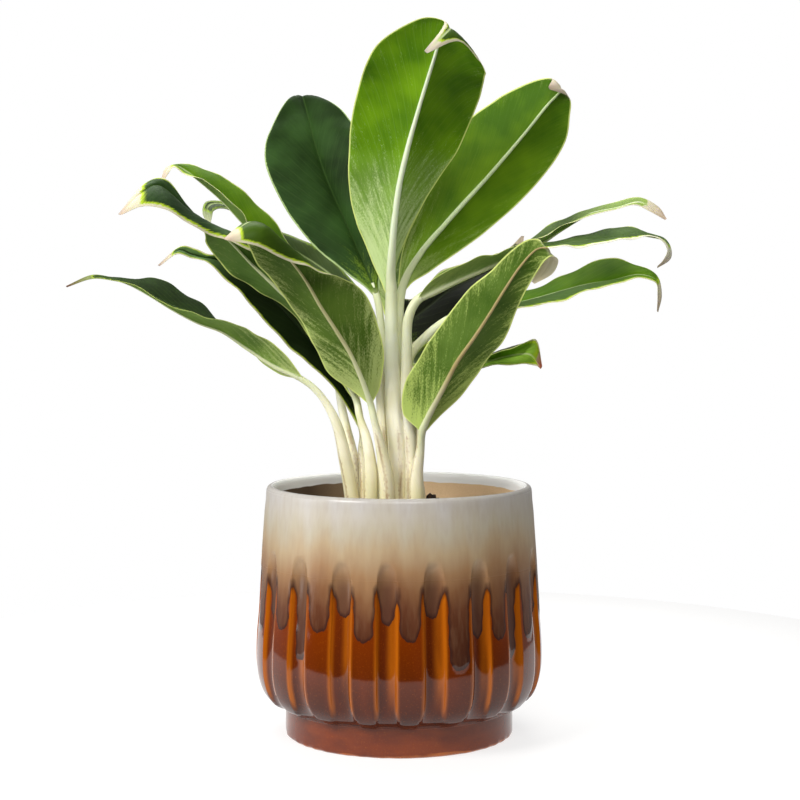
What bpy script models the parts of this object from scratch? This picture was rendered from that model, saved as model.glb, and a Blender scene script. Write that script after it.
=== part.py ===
"""A Chinese evergreen in a fluted stoneware pot.

The plant is sixteen leaves on sixteen pale stalks. Every stalk stands in a hole of its own in the
soil, and the soil fills a round glazed pot with eighteen flutes. Lengths are in metres, Z is up and
the origin is the middle of the underside of the foot.
"""
import math

import bmesh
import bpy
import numpy as np
from mathutils import Vector

MM = 0.001
FIT_GAP = 0.0003
SAME_POINT = 1e-6

# pot
POT_HEIGHT = 0.133
POT_RADIUS = 0.0762
FOOT_RADIUS = 0.0607
FOOT_HEIGHT = 0.0155
MOUTH_RADIUS = 0.0660
POT_FLOOR = 0.009
FLUTES = 18
FLUTE_DEPTH = 0.0020
FLUTE_TOP = 0.1005
FLUTE_ARCH = 0.012
FLUTE_TURN = math.radians(-4.3)
# places round one flute, in shares of its period, where the wall is given a point
FLUTE_PLACES = (-0.5, -0.24, -0.10, 0.10, 0.24)
FLUTE_HALF_SHARE = 0.22
# the flutes fade out over this height, starting this far above the foot
FLUTE_FADE = 0.006
FLUTE_CLEAR = 0.0012
FLUTE_ROUNDNESS = 0.6
# radius and height up the outside and down the inside of the pot
OUTSIDE = (
    (0.0592, 0.0), (0.0607, 0.0015), (FOOT_RADIUS, FOOT_HEIGHT), (0.0637, 0.0165), (0.0692, 0.0207),
    (0.0728, 0.0255), (0.0753, 0.033), (POT_RADIUS, 0.041), (0.0759, 0.053), (0.0746, 0.068),
    (0.0736, 0.082), (0.0731, 0.0915), (0.0727, 0.0975), (0.0723, 0.102), (0.0708, 0.122),
    (0.0699, 0.1316),
)
INSIDE = (
    (0.0684, POT_HEIGHT), (0.0666, 0.1321), (MOUTH_RADIUS, 0.130), (MOUTH_RADIUS, 0.034),
    (0.0625, 0.022), (0.054, 0.0125), (0.049, POT_FLOOR),
)

# soil
SOIL_AT_WALL = 0.1150
SOIL_MOUND = 0.0065
SOIL_BUMP = 0.0008
# how fast the lumps come and go along x and y, in turns of a wave
LUMP_RATES = (310.0, 270.0, 520.0, -430.0)
SOIL_SHARES = (1.0, 0.90, 0.74, 0.58, 0.42, 0.26, 0.10)
SOIL_SIDES = 36
SOIL_GAP = 0.0004
HOLE_SIDES = 10
HOLE_DEPTH = 0.040
MOUND_CENTRE = (-0.006, -0.001)
MOUND_REACH = 0.040

# blades and stalks
BLADE_EDGE = 0.0007
BLADE_GAP = 0.0004
TIP_HALF_WIDTH = 0.0008
RIB_AT_BASE = 0.0024
RIB_ALONG = 0.0010
RIB_AT_TIP = 0.0002
# the midrib's heights hold at these shares of its length
RIB_PLACES = (0.0, 0.10, 0.35, 1.0)
PLAIN_ROLL = 0.06
STALK_FOOT = 0.110
STALK_UPRIGHT = (0.1225, 0.1270)
# the stalk points along the midrib for this last stretch, and thins to this share by this place
STALK_RUN_IN = 0.004
STALK_WAIST = 0.85
WAIST_PLACE = 0.35
STALK_SIDES_STEP = 1
STALK_STEPS = 2
FLAT_COLUMNS = (0.0, 0.58, 1.0)
ROLLED_COLUMNS = (0.0, 0.38, 0.74, 1.0)
ROLLED_LEAVES = ("crown", "front_left", "hood", "right_low")

COLOURS = {
    "glaze": ((0.33, 0.13, 0.05), 0.15),
    "soil": ((0.035, 0.024, 0.017), 0.95),
    "leaf": ((0.09, 0.20, 0.03), 0.42),
    "stalk": ((0.72, 0.68, 0.45), 0.45),
}

# Each leaf: its midrib from base to tip, and its two margins at the stations between, in
# millimetres. Left and right are as seen on the upper side with the tip up. The rolls say how far
# each half bulges, as a share of its width. The stalk is its route above the soil and its two radii.
LEAVES = {
    "crown": {
        "rib": [(-4, 0, 233), (-4, -6, 251), (-1, -17, 283), (4, -27, 307), (10, -36, 328),
            (17, -48, 350), (21, -56, 362), (25, -63, 365), (22, -69, 361), (13, -73, 352)],
        "left": [(-15, 2, 253), (-25, -2, 281), (-26, -12, 310), (-22, -24, 335), (-12, -42, 358),
            (9, -56, 370), (21, -62, 369), (21, -67, 364)],
        "right": [(-1, 2, 251), (13, -6, 282), (30, -14, 308), (40, -26, 331), (43, -44, 343),
            (43, -50, 345), (39, -58, 350), (29, -67, 358)],
        "foot": (-1.8, -5),
        "stalk": [(-1, -4, 152), (-3, -3, 178), (-4, -2, 210)],
        "radii": (3.3, 2.7),
    },
    "left_tall": {
        "rib": [(-12, 7, 233), (-20, 15, 253), (-30, 25, 275), (-40, 35, 298), (-47, 44, 319),
            (-51, 54, 334), (-54, 64, 344), (-54, 76, 340)],
        "left": [(-11, 12, 251), (-17, 16, 272), (-18, 24, 298), (-21, 32, 318), (-30, 44, 333),
            (-43, 56, 342)],
        "right": [(-28, 10, 245), (-46, 16, 260), (-62, 24, 281), (-73, 34, 306), (-70, 44, 325),
            (-61, 56, 342)],
        "foot": (-7, 8),
        "stalk": [(-6, 10, 150), (-6, 11, 183), (-9, 9, 212)],
        "radii": (2.4, 1.7),
    },
    "right_tall": {
        "rib": [(1.5, 6.5, 236), (11, 5, 255), (28, 5, 275), (47, 5, 296), (65, 3, 317), (77, 0, 332),
            (85, -4, 341), (78, -10, 341)],
        "left": [(3, 14, 261), (18, 18, 293), (34, 18, 323), (53, 14, 338), (70, 7, 346), (80, 0, 347)],
        "right": [(18, 11, 247), (46, 13, 267), (71, 13, 290), (87, 9, 312), (90, 3, 328), (89, -2, 337)],
        "foot": (0.5, 2),
        "stalk": [(0, 3, 151), (0, 4, 178), (0, 6.5, 210)],
        "radii": (2.3, 2.0),
    },
    "front_left": {
        "rib": [(-15, -13, 177), (-19, -18, 189), (-25, -24, 203), (-32, -30, 215), (-40, -37, 228),
            (-47, -45, 241), (-54, -54, 251), (-65, -64, 263), (-72, -73, 270), (-84, -86, 261)],
        "left": [(-25, -11, 184), (-37, -14, 193), (-44, -20, 208), (-53, -28, 224), (-62, -38, 238),
            (-70, -48, 248), (-75, -60, 259), (-77, -70, 268)],
        "right": [(-10, -11, 186), (-8, -14, 202), (-11, -20, 218), (-18, -28, 235), (-31, -42, 243),
            (-43, -62, 247), (-57, -74, 252), (-69, -82, 258)],
        "roll_right": (0.06, 0.06, 0.06, 0.06, 0.10, 0.22, 0.30, 0.30),
        "foot": (-6.5, -12),
        "stalk": [(-7, -12, 139), (-10, -12, 155), (-13, -13, 168)],
        "radii": (3.3, 2.4),
    },
    "hood": {
        "rib": [(-23, -3, 179), (-31, -9, 196), (-42, -14, 214), (-53, -20, 227), (-63, -25, 237),
            (-75, -30, 249), (-87, -36, 262), (-97, -44, 273), (-106, -54, 279), (-118, -64, 285),
            (-125, -72, 281), (-135, -83, 273)],
        "left": [(-36, -3, 195), (-48, -7, 213), (-60, -12, 228), (-74, -18, 236), (-88, -24, 246),
            (-98, -32, 259), (-99, -40, 268), (-107, -46, 279), (-114, -54, 289), (-124, -64, 289)],
        "right": [(-23, -3, 196), (-31, -7, 214), (-40, -12, 229), (-49, -16, 242), (-59, -23, 253),
            (-74, -46, 256), (-88, -56, 262), (-102, -66, 268), (-114, -74, 276), (-125, -78, 277)],
        "roll_right": (0.06, 0.06, 0.06, 0.06, 0.15, 0.45, 0.4, 0.2, 0.06, 0.06),
        "foot": (-15.2, -8.6),
        "stalk": [(-15, -8, 141), (-17, -7, 157), (-21, -5, 170)],
        "radii": (3.1, 2.3),
    },
    "left_arch": {
        "rib": [(-35, 24, 210), (-46, 22, 230), (-59, 22, 248), (-73, 18, 261), (-84, 16, 272),
            (-94, 14, 283), (-104, 11, 292), (-113, 10, 299), (-119, 8, 302), (-122.7, 4.5, 299.3),
            (-125, 0, 293)],
        "left": [(-39, 32, 229), (-51, 36, 248), (-62, 36, 264), (-75, 34, 281), (-88, 30, 292),
            (-101, 25, 300), (-111, 18, 303), (-118, 11, 303), (-123.8, 7, 300.6)],
        "right": [(-51, 10, 233), (-65, 6, 253), (-76, 2, 265), (-82, 0, 275), (-92, 0, 286),
            (-103, 2, 294), (-113, 5, 297), (-119, 5, 301), (-121.8, 3, 297.6)],
        "foot": (-21.7, 3.5),
        "stalk": [(-24, 7, 144), (-29, 14, 164), (-33, 22, 185)],
        "radii": (2.2, 1.5),
    },
    "left_reach": {
        "rib": [(-51, -3, 189), (-66, -3, 196), (-80, -3, 205), (-93, -5, 214), (-106, -7, 219),
            (-119, -9, 226), (-130, -11, 233), (-141, -11, 239), (-151, -9, 242), (-161, -12, 243),
            (-173, -16, 238)],
        "left": [(-65, 6, 192), (-80, 16, 203), (-93, 23, 214), (-105, 26, 226), (-118, 23, 236),
            (-130, 16, 242), (-140, 7, 242), (-151, -5, 243), (-161, -10, 244)],
        "right": [(-60, -12, 203), (-73, -17, 213), (-84, -21, 218), (-97, -23, 222), (-110, -23, 225),
            (-124, -21, 231), (-136, -16, 238), (-149, -12, 241), (-160, -14, 242)],
        "foot": (-25.4, -3),
        "stalk": [(-28, -3, 143), (-33, -3, 165), (-41, -3, 180)],
        "radii": (2.9, 2.1),
    },
    "left_dark": {
        "rib": [(-20, 8, 162), (-29, 14, 183), (-42, 18, 201), (-55, 20, 217), (-69, 21, 232),
            (-83, 20, 244), (-95, 15, 251), (-104, 9, 253), (-110, 4, 255), (-117, 0, 257),
            (-126, -7, 249)],
        "left": [(-23, 11, 185), (-33, 14, 204), (-45, 16, 221), (-59, 16, 235), (-73, 14, 248),
            (-87, 11, 256), (-100, 8, 255), (-108, 6, 258), (-116, 2, 259)],
        "right": [(-35, 8, 184), (-50, 8, 198), (-64, 8, 211), (-78, 8, 227), (-90, 6, 240),
            (-101, 4, 250), (-105, 2, 252), (-110, 0, 253), (-117, -3, 255)],
        "foot": (-18.6, -1.8),
        "stalk": [(-19, 0, 141), (-20, 4, 151)],
        "radii": (2.2, 1.7),
    },
    "left_back": {
        "rib": [(-17, 36, 227), (-30, 46, 238), (-46, 52, 250), (-61, 54, 259), (-74, 54, 266),
            (-83, 50, 275), (-93, 44.5, 281.5), (-99.5, 42, 283.5), (-104, 37, 282),
            (-104.5, 32, 277.5), (-102.7, 25, 272)],
        "left": [(-26, 50, 241), (-40, 56, 255), (-54, 58, 264), (-68, 58, 269), (-80, 54, 276),
            (-93, 46, 283), (-99.5, 44, 285), (-106, 39, 284), (-107, 33, 278)],
        "right": [(-34, 40, 236), (-50, 43, 246), (-66, 44, 255), (-78, 44, 262), (-84, 43, 272),
            (-92, 41, 279), (-97.5, 38, 280.5), (-101, 33.5, 279), (-101.5, 29.5, 276)],
        "foot": (-9.6, 1),
        "stalk": [(-9, 3, 151), (-10, 5, 183), (-12, 22, 209)],
        "radii": (2.2, 1.8),
    },
    "front_right": {
        "rib": [(12, -15, 162), (16, -20, 172), (23, -27, 186), (30, -34, 200), (38, -41, 212),
            (46, -48, 225), (53, -55, 237), (60, -62, 248), (67, -69, 256), (72, -74, 257),
            (75, -66, 254), (73.5, -60.5, 247), (68.7, -57, 241)],
        "left": [(2, -12, 172), (3, -14, 187), (11, -20, 202), (22, -28, 219), (34, -38, 235),
            (46, -48, 246), (56, -58, 256), (63, -66, 261), (69, -72, 261), (71.5, -66, 257),
            (71, -61, 247.5)],
        "right": [(21, -15, 170), (33, -20, 182), (43, -26, 197), (53, -34, 210), (58, -42, 222),
            (62, -51, 233), (67, -60, 243), (71, -69, 250), (74, -73, 252), (77.5, -65, 251),
            (76, -60, 246)],
        "foot": (9.0, -10.2),
        "stalk": [(9, -10, 139), (11, -12, 152)],
        "radii": (3.8, 2.5),
    },
    "right_thin": {
        "rib": [(9.5, 0, 231), (18, 0, 235), (31, -1, 241), (45, -2, 247), (60, 0, 254), (74, -1, 260),
            (86, -2, 268), (100, -6, 276), (114, -6, 279), (126, -8, 282), (134, -10, 277),
            (139, -12, 273)],
        "left": [(17, -8, 241), (31, -12, 249), (45, -14, 254), (58, -13, 258), (71, -12, 263),
            (85, -13, 269), (100, -11, 275), (112.5, -9.5, 278), (123, -9, 280.5), (131, -11, 277)],
        "right": [(21, 6, 245), (34, 9, 250), (48, 12, 256), (61, 14, 261), (76, 14, 269),
            (89, 11, 275), (102, 4, 279), (114, 0, 282.6), (126, -3, 284.8), (135.5, -6, 280)],
        "foot": (5.2, -4.2),
        "stalk": [(5, -4, 152), (4, -3, 180), (3.7, -2, 205), (4.6, -1, 221)],
        "radii": (2.7, 2.3),
    },
    "right_flat": {
        "rib": [(59, -16, 249), (72, -17, 257), (84, -15, 260), (98, -11, 262), (110, -9, 263),
            (122, -10, 265), (131, -12, 264), (138, -13, 262), (141, -15, 257), (139, -17, 252),
            (134, -18, 248)],
        "left": [(73, -24, 257), (84, -27, 258), (97, -26, 259), (110, -25, 261), (120, -22, 263),
            (130, -18, 264), (136, -17, 262), (139, -18, 257), (137, -19, 252)],
        "right": [(70, -11, 259), (83, -6, 262), (98, 3, 265), (111, 7, 269), (122, 3, 269),
            (131, -4, 266), (139, -8, 263), (142, -11, 257), (141, -14, 252)],
        "foot": (11.0, -1.6),
        "stalk": [(9, -2, 149), (16, -6, 181), (29, -12, 208), (45, -15, 231)],
        "radii": (2.2, 1.5),
    },
    "right_arch": {
        "rib": [(27, 8, 221), (43, 8, 225), (58, 7, 228), (74, 6, 232), (88, 5, 236), (100, 3, 239),
            (113, 0, 241), (126, -3, 244), (135, -6, 241), (136, -9, 233), (135, -13, 225)],
        "left": [(43, -2, 222), (58, -8, 226), (74, -12, 228), (88, -14, 232), (101, -14, 236),
            (114, -14, 240), (126, -13, 242), (134, -12, 240), (135, -12, 233)],
        "right": [(42, 16, 230), (58, 20, 234), (73, 22, 237), (88, 24, 243), (101, 22, 250),
            (114, 16, 253), (126, 8, 250), (136, 0, 244), (138, -6, 234)],
        "foot": (6.2, 3.2),
        "stalk": [(3, 6, 151), (3, 7, 178), (5, 7, 199), (14, 7, 211)],
        "radii": (2.2, 2.3),
    },
    "right_low": {
        "rib": [(5, 16, 195), (17, 13, 194), (31, 9, 194), (44, 6, 197), (54, 5, 200), (63, 1, 202),
            (69, -8, 202), (74, -19, 196)],
        "left": [(16, 4, 190), (30, -3, 191), (44, -9, 195), (54, -12, 198), (64, -14, 197),
            (71, -17, 197)],
        "right": [(16, 17, 202), (31, 9, 201), (45, 0, 201), (56, -4, 205), (66, -8, 208),
            (72, -12, 210)],
        "roll_left": (0.0, 0.0, -0.05, -0.05, -0.05, 0.0),
        "roll_right": (0.0, -0.08, -0.18, -0.22, -0.2, -0.12),
        "foot": (6.5, 9),
        "stalk": [(5, 13, 150), (4, 16, 177)],
        "radii": (2.1, 1.5),
    },
    "right_back": {
        "rib": [(-1, 18, 206), (4, 26, 217), (15, 32, 226), (28, 38, 236), (42, 43, 243),
            (54, 48, 248), (64, 51, 257), (70, 60, 265)],
        "left": [(8, 20, 207), (21, 22, 212), (36, 25, 223), (49, 29, 233), (60, 34, 241), (67, 44, 254)],
        "right": [(0, 30, 229), (9, 36, 232), (23, 42, 246), (34, 47, 250), (48, 52, 251), (61, 54, 259)],
        "foot": (-0.8, 9),
        "stalk": [(-1, 10, 150), (-1, 13, 180)],
        "radii": (2.2, 1.6),
    },
    "back": {
        "rib": [(-6, 26, 221), (-6, 46, 243), (-5, 66, 264), (-4, 90, 280), (-2, 114, 290),
            (-2, 136, 289), (-2, 150, 280), (-1, 158, 266)],
        "left": [(-15, 44, 240), (-21, 62, 259), (-24, 84, 276), (-23, 108, 286), (-17, 130, 287),
            (-9, 146, 279)],
        "right": [(4, 44, 240), (12, 62, 259), (17, 84, 276), (16, 108, 285), (11, 130, 284),
            (5, 146, 278)],
        "foot": (-5, 14),
        "stalk": [(-5, 15, 150), (-6, 18, 182)],
        "radii": (2.2, 1.7),
    },
}


def clear_scene():
    for thing in list(bpy.data.objects):
        bpy.data.objects.remove(thing, do_unlink=True)


def new_collection(name):
    group = bpy.data.collections.new(name)
    bpy.context.scene.collection.children.link(group)
    return group


def new_material(name):
    colour, roughness = COLOURS[name]
    material = bpy.data.materials.new(name)
    material.use_nodes = True
    shader = material.node_tree.nodes["Principled BSDF"]
    shader.inputs["Base Color"].default_value = (*colour, 1.0)
    shader.inputs["Roughness"].default_value = roughness
    return material


def new_object(name, group, material, points, faces):
    mesh = bpy.data.meshes.new(name)
    mesh.from_pydata([tuple(p) for p in points], [], faces)
    mesh.validate()
    mesh.materials.append(material)
    thing = bpy.data.objects.new(name, mesh)
    group.objects.link(thing)
    return thing


def through(points, steps):
    """Points along a smooth curve through the given ones, a number of steps to each span."""
    given = np.array(points, float)
    padded = np.vstack([2 * given[0] - given[1], given, 2 * given[-1] - given[-2]])
    spans = len(given) - 1
    place = np.linspace(0, spans, spans * steps + 1)
    span = np.minimum(place.astype(int), spans - 1)
    t = (place - span)[:, None]
    before, start, end, after = (padded[span + k] for k in range(4))
    slope_in = (end - before) / 2
    slope_out = (after - start) / 2
    return (
        start * (2 * t**3 - 3 * t**2 + 1)
        + slope_in * (t**3 - 2 * t**2 + t)
        + end * (3 * t**2 - 2 * t**3)
        + slope_out * (t**3 - t**2)
    )


def unit(vectors):
    return vectors / np.maximum(np.linalg.norm(vectors, axis=-1, keepdims=True), 1e-12)


def square_to(vector, axis):
    return vector - axis * np.dot(vector, axis)


def leaf_rows(leaf, steps):
    """Midrib and margins of one blade, row by row from its base to its tip."""
    rib = np.array(leaf["rib"], float) * MM
    left = np.array(leaf["left"], float) * MM
    right = np.array(leaf["right"], float) * MM
    base_way = unit(rib[1] - rib[0])
    tip_way = unit(rib[-1] - rib[-2])
    at_base = unit(square_to(right[0] - left[0], base_way)) * leaf["radii"][1] * MM
    at_tip = unit(square_to(right[-1] - left[-1], tip_way)) * TIP_HALF_WIDTH
    left = np.vstack([rib[0] - at_base, left, rib[-1] - at_tip])
    right = np.vstack([rib[0] + at_base, right, rib[-1] + at_tip])
    stations = len(rib) - 2
    rolls = []
    for side in ("roll_left", "roll_right"):
        roll = leaf.get(side, (PLAIN_ROLL,) * stations)
        rolls.append(through([(0.0,), *((share,) for share in roll), (0.0,)], steps)[:, 0])
    return through(left, steps), through(rib, steps), through(right, steps), rolls


def half_blade(start, end, way, roll, columns):
    """Points across one half: a straight line from start to end, raised in the middle."""
    across = end - start
    width = np.linalg.norm(across, axis=1, keepdims=True)
    up = unit(np.cross(way, across))
    shares = np.array(columns)[None, :, None]
    lift = (roll[:, None] * width)[:, None, :] * 4 * shares * (1 - shares)
    return start[:, None] + across[:, None] * shares + up[:, None] * lift


def blade_sheet(leaf, steps, columns):
    """The middle surface of a blade as a grid: rows from base to tip, columns left to right."""
    left, rib, right, rolls = leaf_rows(leaf, steps)
    way = np.gradient(rib, axis=0)
    shares = np.array(columns)
    near = half_blade(left, rib, way, rolls[0], shares)
    far = half_blade(rib, right, way, rolls[1], 1 - shares[::-1])
    return np.concatenate([near, far[:, 1:]], axis=1)


def rib_height(rows):
    """How far the midrib stands out below the blade, row by row."""
    share = np.linspace(0, 1, rows)
    heights = (RIB_AT_BASE, RIB_ALONG, RIB_ALONG * 0.7, RIB_AT_TIP)
    return np.interp(share, RIB_PLACES, heights)


def add_blade(name, leaf, group, material):
    columns = ROLLED_COLUMNS if name in ROLLED_LEAVES else FLAT_COLUMNS
    sheet = blade_sheet(leaf, 2, columns)
    rows, count = sheet.shape[:2]
    along = np.gradient(sheet, axis=0)
    along[0] = sheet[1, count // 2] - sheet[0, count // 2]
    across = np.gradient(sheet, axis=1)
    up = unit(np.cross(along, across))
    middle = count // 2
    drop = np.zeros((rows, count))
    drop[:, middle] = rib_height(rows)
    top = sheet + up * BLADE_EDGE / 2
    bottom = sheet - up * (BLADE_EDGE / 2 + drop)[..., None]
    points = np.concatenate([top.reshape(-1, 3), bottom.reshape(-1, 3)])

    def at(row, column, side):
        return int(side * rows * count + row * count + column)

    faces = []
    for row in range(rows - 1):
        for column in range(count - 1):
            corners = ((row, column), (row, column + 1), (row + 1, column + 1), (row + 1, column))
            a, b, c, d = (at(*corner, 0) for corner in corners)
            faces += [(a, c, b), (a, d, c)]
            a, b, c, d = (at(*corner, 1) for corner in corners)
            faces += [(a, b, c), (a, c, d)]
        for column, turned in ((0, False), (count - 1, True)):
            strip = [at(row, column, 0), at(row, column, 1), at(row + 1, column, 1)]
            other = [strip[0], strip[2], at(row + 1, column, 0)]
            faces += [tuple(f[::-1]) if turned else tuple(f) for f in (strip, other)]
    for row, turned in ((0, True), (rows - 1, False)):
        for column in range(count - 1):
            strip = [at(row, column, 0), at(row, column, 1), at(row, column + 1, 1)]
            other = [strip[0], strip[2], at(row, column + 1, 0)]
            faces += [tuple(f[::-1]) if turned else tuple(f) for f in (strip, other)]
    return new_object(f"leaf_{name}", group, material, points, faces)


def stalk_route(leaf):
    """The middle line of a stalk, from inside the soil to just short of its blade."""
    x, y = (value * MM for value in leaf["foot"])
    rib = np.array(leaf["rib"], float) * MM
    way = unit(rib[1] - rib[0])
    end = rib[0] - way * BLADE_GAP
    route = [(x, y, height) for height in (STALK_FOOT, *STALK_UPRIGHT)]
    route += [tuple(value * MM for value in point) for point in leaf["stalk"]]
    smooth = through([*route, tuple(end - way * STALK_RUN_IN)], STALK_STEPS)
    return np.vstack([smooth, end])


def add_stalk(name, leaf, group, material):
    route = stalk_route(leaf)
    share = np.linspace(0, 1, len(route))
    low, high = leaf["radii"]
    radii = np.interp(share, (0.0, WAIST_PLACE, 1.0), (low, low * STALK_WAIST, high))
    curve = bpy.data.curves.new(name, "CURVE")
    curve.dimensions = "3D"
    curve.bevel_depth = MM
    curve.bevel_resolution = STALK_SIDES_STEP
    curve.use_fill_caps = True
    spline = curve.splines.new("POLY")
    spline.points.add(len(route) - 1)
    for point, place, radius in zip(spline.points, route, radii):
        point.co = (*place, 1.0)
        point.radius = radius
    drawn = bpy.data.objects.new(name, curve)
    group.objects.link(drawn)
    mesh = bpy.data.meshes.new_from_object(drawn.evaluated_get(bpy.context.evaluated_depsgraph_get()))
    bpy.data.objects.remove(drawn, do_unlink=True)
    mesh.name = f"stalk_{name}"
    weld(mesh)
    mesh.materials.clear()
    mesh.materials.append(material)
    stalk = bpy.data.objects.new(f"stalk_{name}", mesh)
    group.objects.link(stalk)
    return stalk


def weld(mesh):
    work = bmesh.new()
    work.from_mesh(mesh)
    bmesh.ops.remove_doubles(work, verts=work.verts, dist=SAME_POINT)
    bmesh.ops.recalc_face_normals(work, faces=work.faces)
    for face in work.faces:
        face.smooth = True
    work.to_mesh(mesh)
    work.free()


def lathe(name, rings, group, material):
    """A closed body through rings of equal point counts, with a flat end at each side."""
    count = len(rings[0])
    points = [point for ring in rings for point in ring]
    faces = []
    for row in range(len(rings) - 1):
        for k in range(count):
            a = row * count + k
            b = row * count + (k + 1) % count
            faces.append((a, b, b + count, a + count))
    points.append(tuple(np.mean(rings[0], axis=0)))
    points.append(tuple(np.mean(rings[-1], axis=0)))
    first, last = len(points) - 2, len(points) - 1
    top = (len(rings) - 1) * count
    for k in range(count):
        n = (k + 1) % count
        faces.append((first, n, k))
        faces.append((last, top + k, top + n))
    thing = new_object(name, group, material, points, faces)
    weld(thing.data)
    return thing


def flute(share, height):
    """How deep the wall is pressed in, where share is the place round one flute's period."""
    above = max(0.0, (height - (FLUTE_TOP - FLUTE_ARCH)) / FLUTE_ARCH)
    below = min(1.0, max(0.0, (height - FOOT_HEIGHT - FLUTE_CLEAR) / FLUTE_FADE))
    inside = 1 - (share / FLUTE_HALF_SHARE) ** 2 - above**2
    return FLUTE_DEPTH * below * max(0.0, inside) ** FLUTE_ROUNDNESS


def pot_rings():
    turns = [(k + place) / FLUTES for k in range(FLUTES) for place in FLUTE_PLACES]
    rings = []
    for radius, height in OUTSIDE + INSIDE:
        ring = []
        for number, turn in enumerate(turns):
            place = FLUTE_PLACES[number % len(FLUTE_PLACES)]
            reach = radius - (flute(place, height) if (radius, height) in OUTSIDE else 0.0)
            angle = math.tau * turn + FLUTE_TURN - math.pi / 2
            ring.append((reach * math.cos(angle), reach * math.sin(angle), height))
        rings.append(ring)
    return rings


def soil_height(x, y):
    """Mound round the stalks, level near the wall, with small lumps all over."""
    away = math.hypot(x - MOUND_CENTRE[0], y - MOUND_CENTRE[1]) / MOUND_REACH
    mound = SOIL_MOUND * math.exp(-(away**4))
    a, b, c, d = LUMP_RATES
    lumps = math.sin(a * x + 1.3) * math.cos(b * y + 0.4) + 0.6 * math.sin(c * x + d * y)
    return SOIL_AT_WALL + mound + SOIL_BUMP * lumps


def soil_rings():
    wall = MOUTH_RADIUS - SOIL_GAP
    sides = [(radius - SOIL_GAP, height + SOIL_GAP) for radius, height in INSIDE[:2:-1]]
    angles = [math.tau * (k + 0.5) / SOIL_SIDES for k in range(SOIL_SIDES)]
    rings = [[(r * math.cos(a), r * math.sin(a), z) for a in angles] for r, z in sides]
    for share in SOIL_SHARES:
        flat = [(wall * share * math.cos(a), wall * share * math.sin(a)) for a in angles]
        rings.append([(x, y, soil_height(x, y)) for x, y in flat])
    return rings


def stalk_holes(group):
    """One cutter for each stalk's hole in the soil."""
    for name, leaf in LEAVES.items():
        radius = (leaf["radii"][0] * MM + FIT_GAP) / math.cos(math.pi / HOLE_SIDES)
        work = bmesh.new()
        bmesh.ops.create_cone(
            work, cap_ends=True, segments=HOLE_SIDES, radius1=radius, radius2=radius, depth=HOLE_DEPTH
        )
        mesh = bpy.data.meshes.new(f"hole_{name}")
        work.to_mesh(mesh)
        work.free()
        cutter = bpy.data.objects.new(f"hole_{name}", mesh)
        x, y = (value * MM for value in leaf["foot"])
        for vertex in mesh.vertices:
            vertex.co += Vector((x, y, STALK_FOOT - FIT_GAP + HOLE_DEPTH / 2))
        cutter.hide_render = True
        cutter.display_type = "WIRE"
        group.objects.link(cutter)
        yield cutter


def build():
    clear_scene()
    plant = new_collection("potted_chinese_evergreen")
    cutters = new_collection("cutters")
    cutters.hide_render = True
    glaze, earth, green, cream = (new_material(name) for name in ("glaze", "soil", "leaf", "stalk"))
    lathe("pot", pot_rings(), plant, glaze)
    soil = lathe("soil", soil_rings(), plant, earth)
    for cutter in stalk_holes(cutters):
        cut = soil.modifiers.new(cutter.name, "BOOLEAN")
        cut.operation = "DIFFERENCE"
        cut.solver = "EXACT"
        cut.object = cutter
    for name, leaf in LEAVES.items():
        add_stalk(name, leaf, plant, cream)
        add_blade(name, leaf, plant, green)


build()
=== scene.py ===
# A Chinese evergreen in a fluted stoneware pot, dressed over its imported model.
# Lengths are in metres, Z is up and the origin is under the middle of the pot's foot.
import math

import bpy
import numpy as np
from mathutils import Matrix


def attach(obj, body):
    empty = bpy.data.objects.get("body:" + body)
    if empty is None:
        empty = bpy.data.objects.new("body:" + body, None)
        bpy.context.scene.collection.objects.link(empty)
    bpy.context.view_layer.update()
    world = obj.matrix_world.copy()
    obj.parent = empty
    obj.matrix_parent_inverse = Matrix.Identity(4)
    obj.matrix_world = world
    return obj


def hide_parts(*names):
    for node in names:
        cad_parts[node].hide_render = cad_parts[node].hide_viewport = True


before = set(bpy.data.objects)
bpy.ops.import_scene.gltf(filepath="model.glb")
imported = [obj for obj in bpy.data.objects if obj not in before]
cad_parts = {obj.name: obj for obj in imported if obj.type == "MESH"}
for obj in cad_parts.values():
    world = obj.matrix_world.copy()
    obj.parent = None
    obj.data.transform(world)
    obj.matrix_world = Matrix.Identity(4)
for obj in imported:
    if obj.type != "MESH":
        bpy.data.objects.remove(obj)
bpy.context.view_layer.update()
mm = 0.001
print("frame loaded:", len(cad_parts), "nodes")


# ---- shared helpers: colours, nodes, curves and meshes

def linear(hexColour):
    # an sRGB hex colour as linear light, opaque
    parts = [int(hexColour[k:k + 2], 16) / 255 for k in (1, 3, 5)]
    return (*[p / 12.92 if p <= 0.04045 else ((p + 0.055) / 1.055) ** 2.4 for p in parts], 1.0)


def addNode(tree, kind, inputs=None, out=0, ramp=None, **settings):
    # one node with its settings; an input that is a socket is linked, any other is a value; gives back one output
    node = tree.nodes.new("ShaderNode" + kind)
    for name, value in settings.items():
        setattr(node, name, value)
    for place, (position, hexColour) in enumerate(ramp or ()):
        stops = node.color_ramp.elements
        stop = stops[place] if place < 2 else stops.new(position)
        stop.position, stop.color = position, linear(hexColour)
    for name, value in (inputs or {}).items():
        if isinstance(value, bpy.types.NodeSocket):
            tree.links.new(value, node.inputs[name])
        else:
            node.inputs[name].default_value = value
    return node.outputs[out] if len(node.outputs) else None


def startMaterial(name):
    material = bpy.data.materials.new(name)
    material.use_nodes = True
    material.node_tree.nodes.clear()
    return material, material.node_tree


def finishMaterial(tree, sockets):
    shader = addNode(tree, "BsdfPrincipled", sockets)
    addNode(tree, "OutputMaterial", {"Surface": shader})


def unit(vectors):
    return vectors / np.maximum(np.linalg.norm(vectors, axis=-1, keepdims=True), 1e-12)


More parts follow.
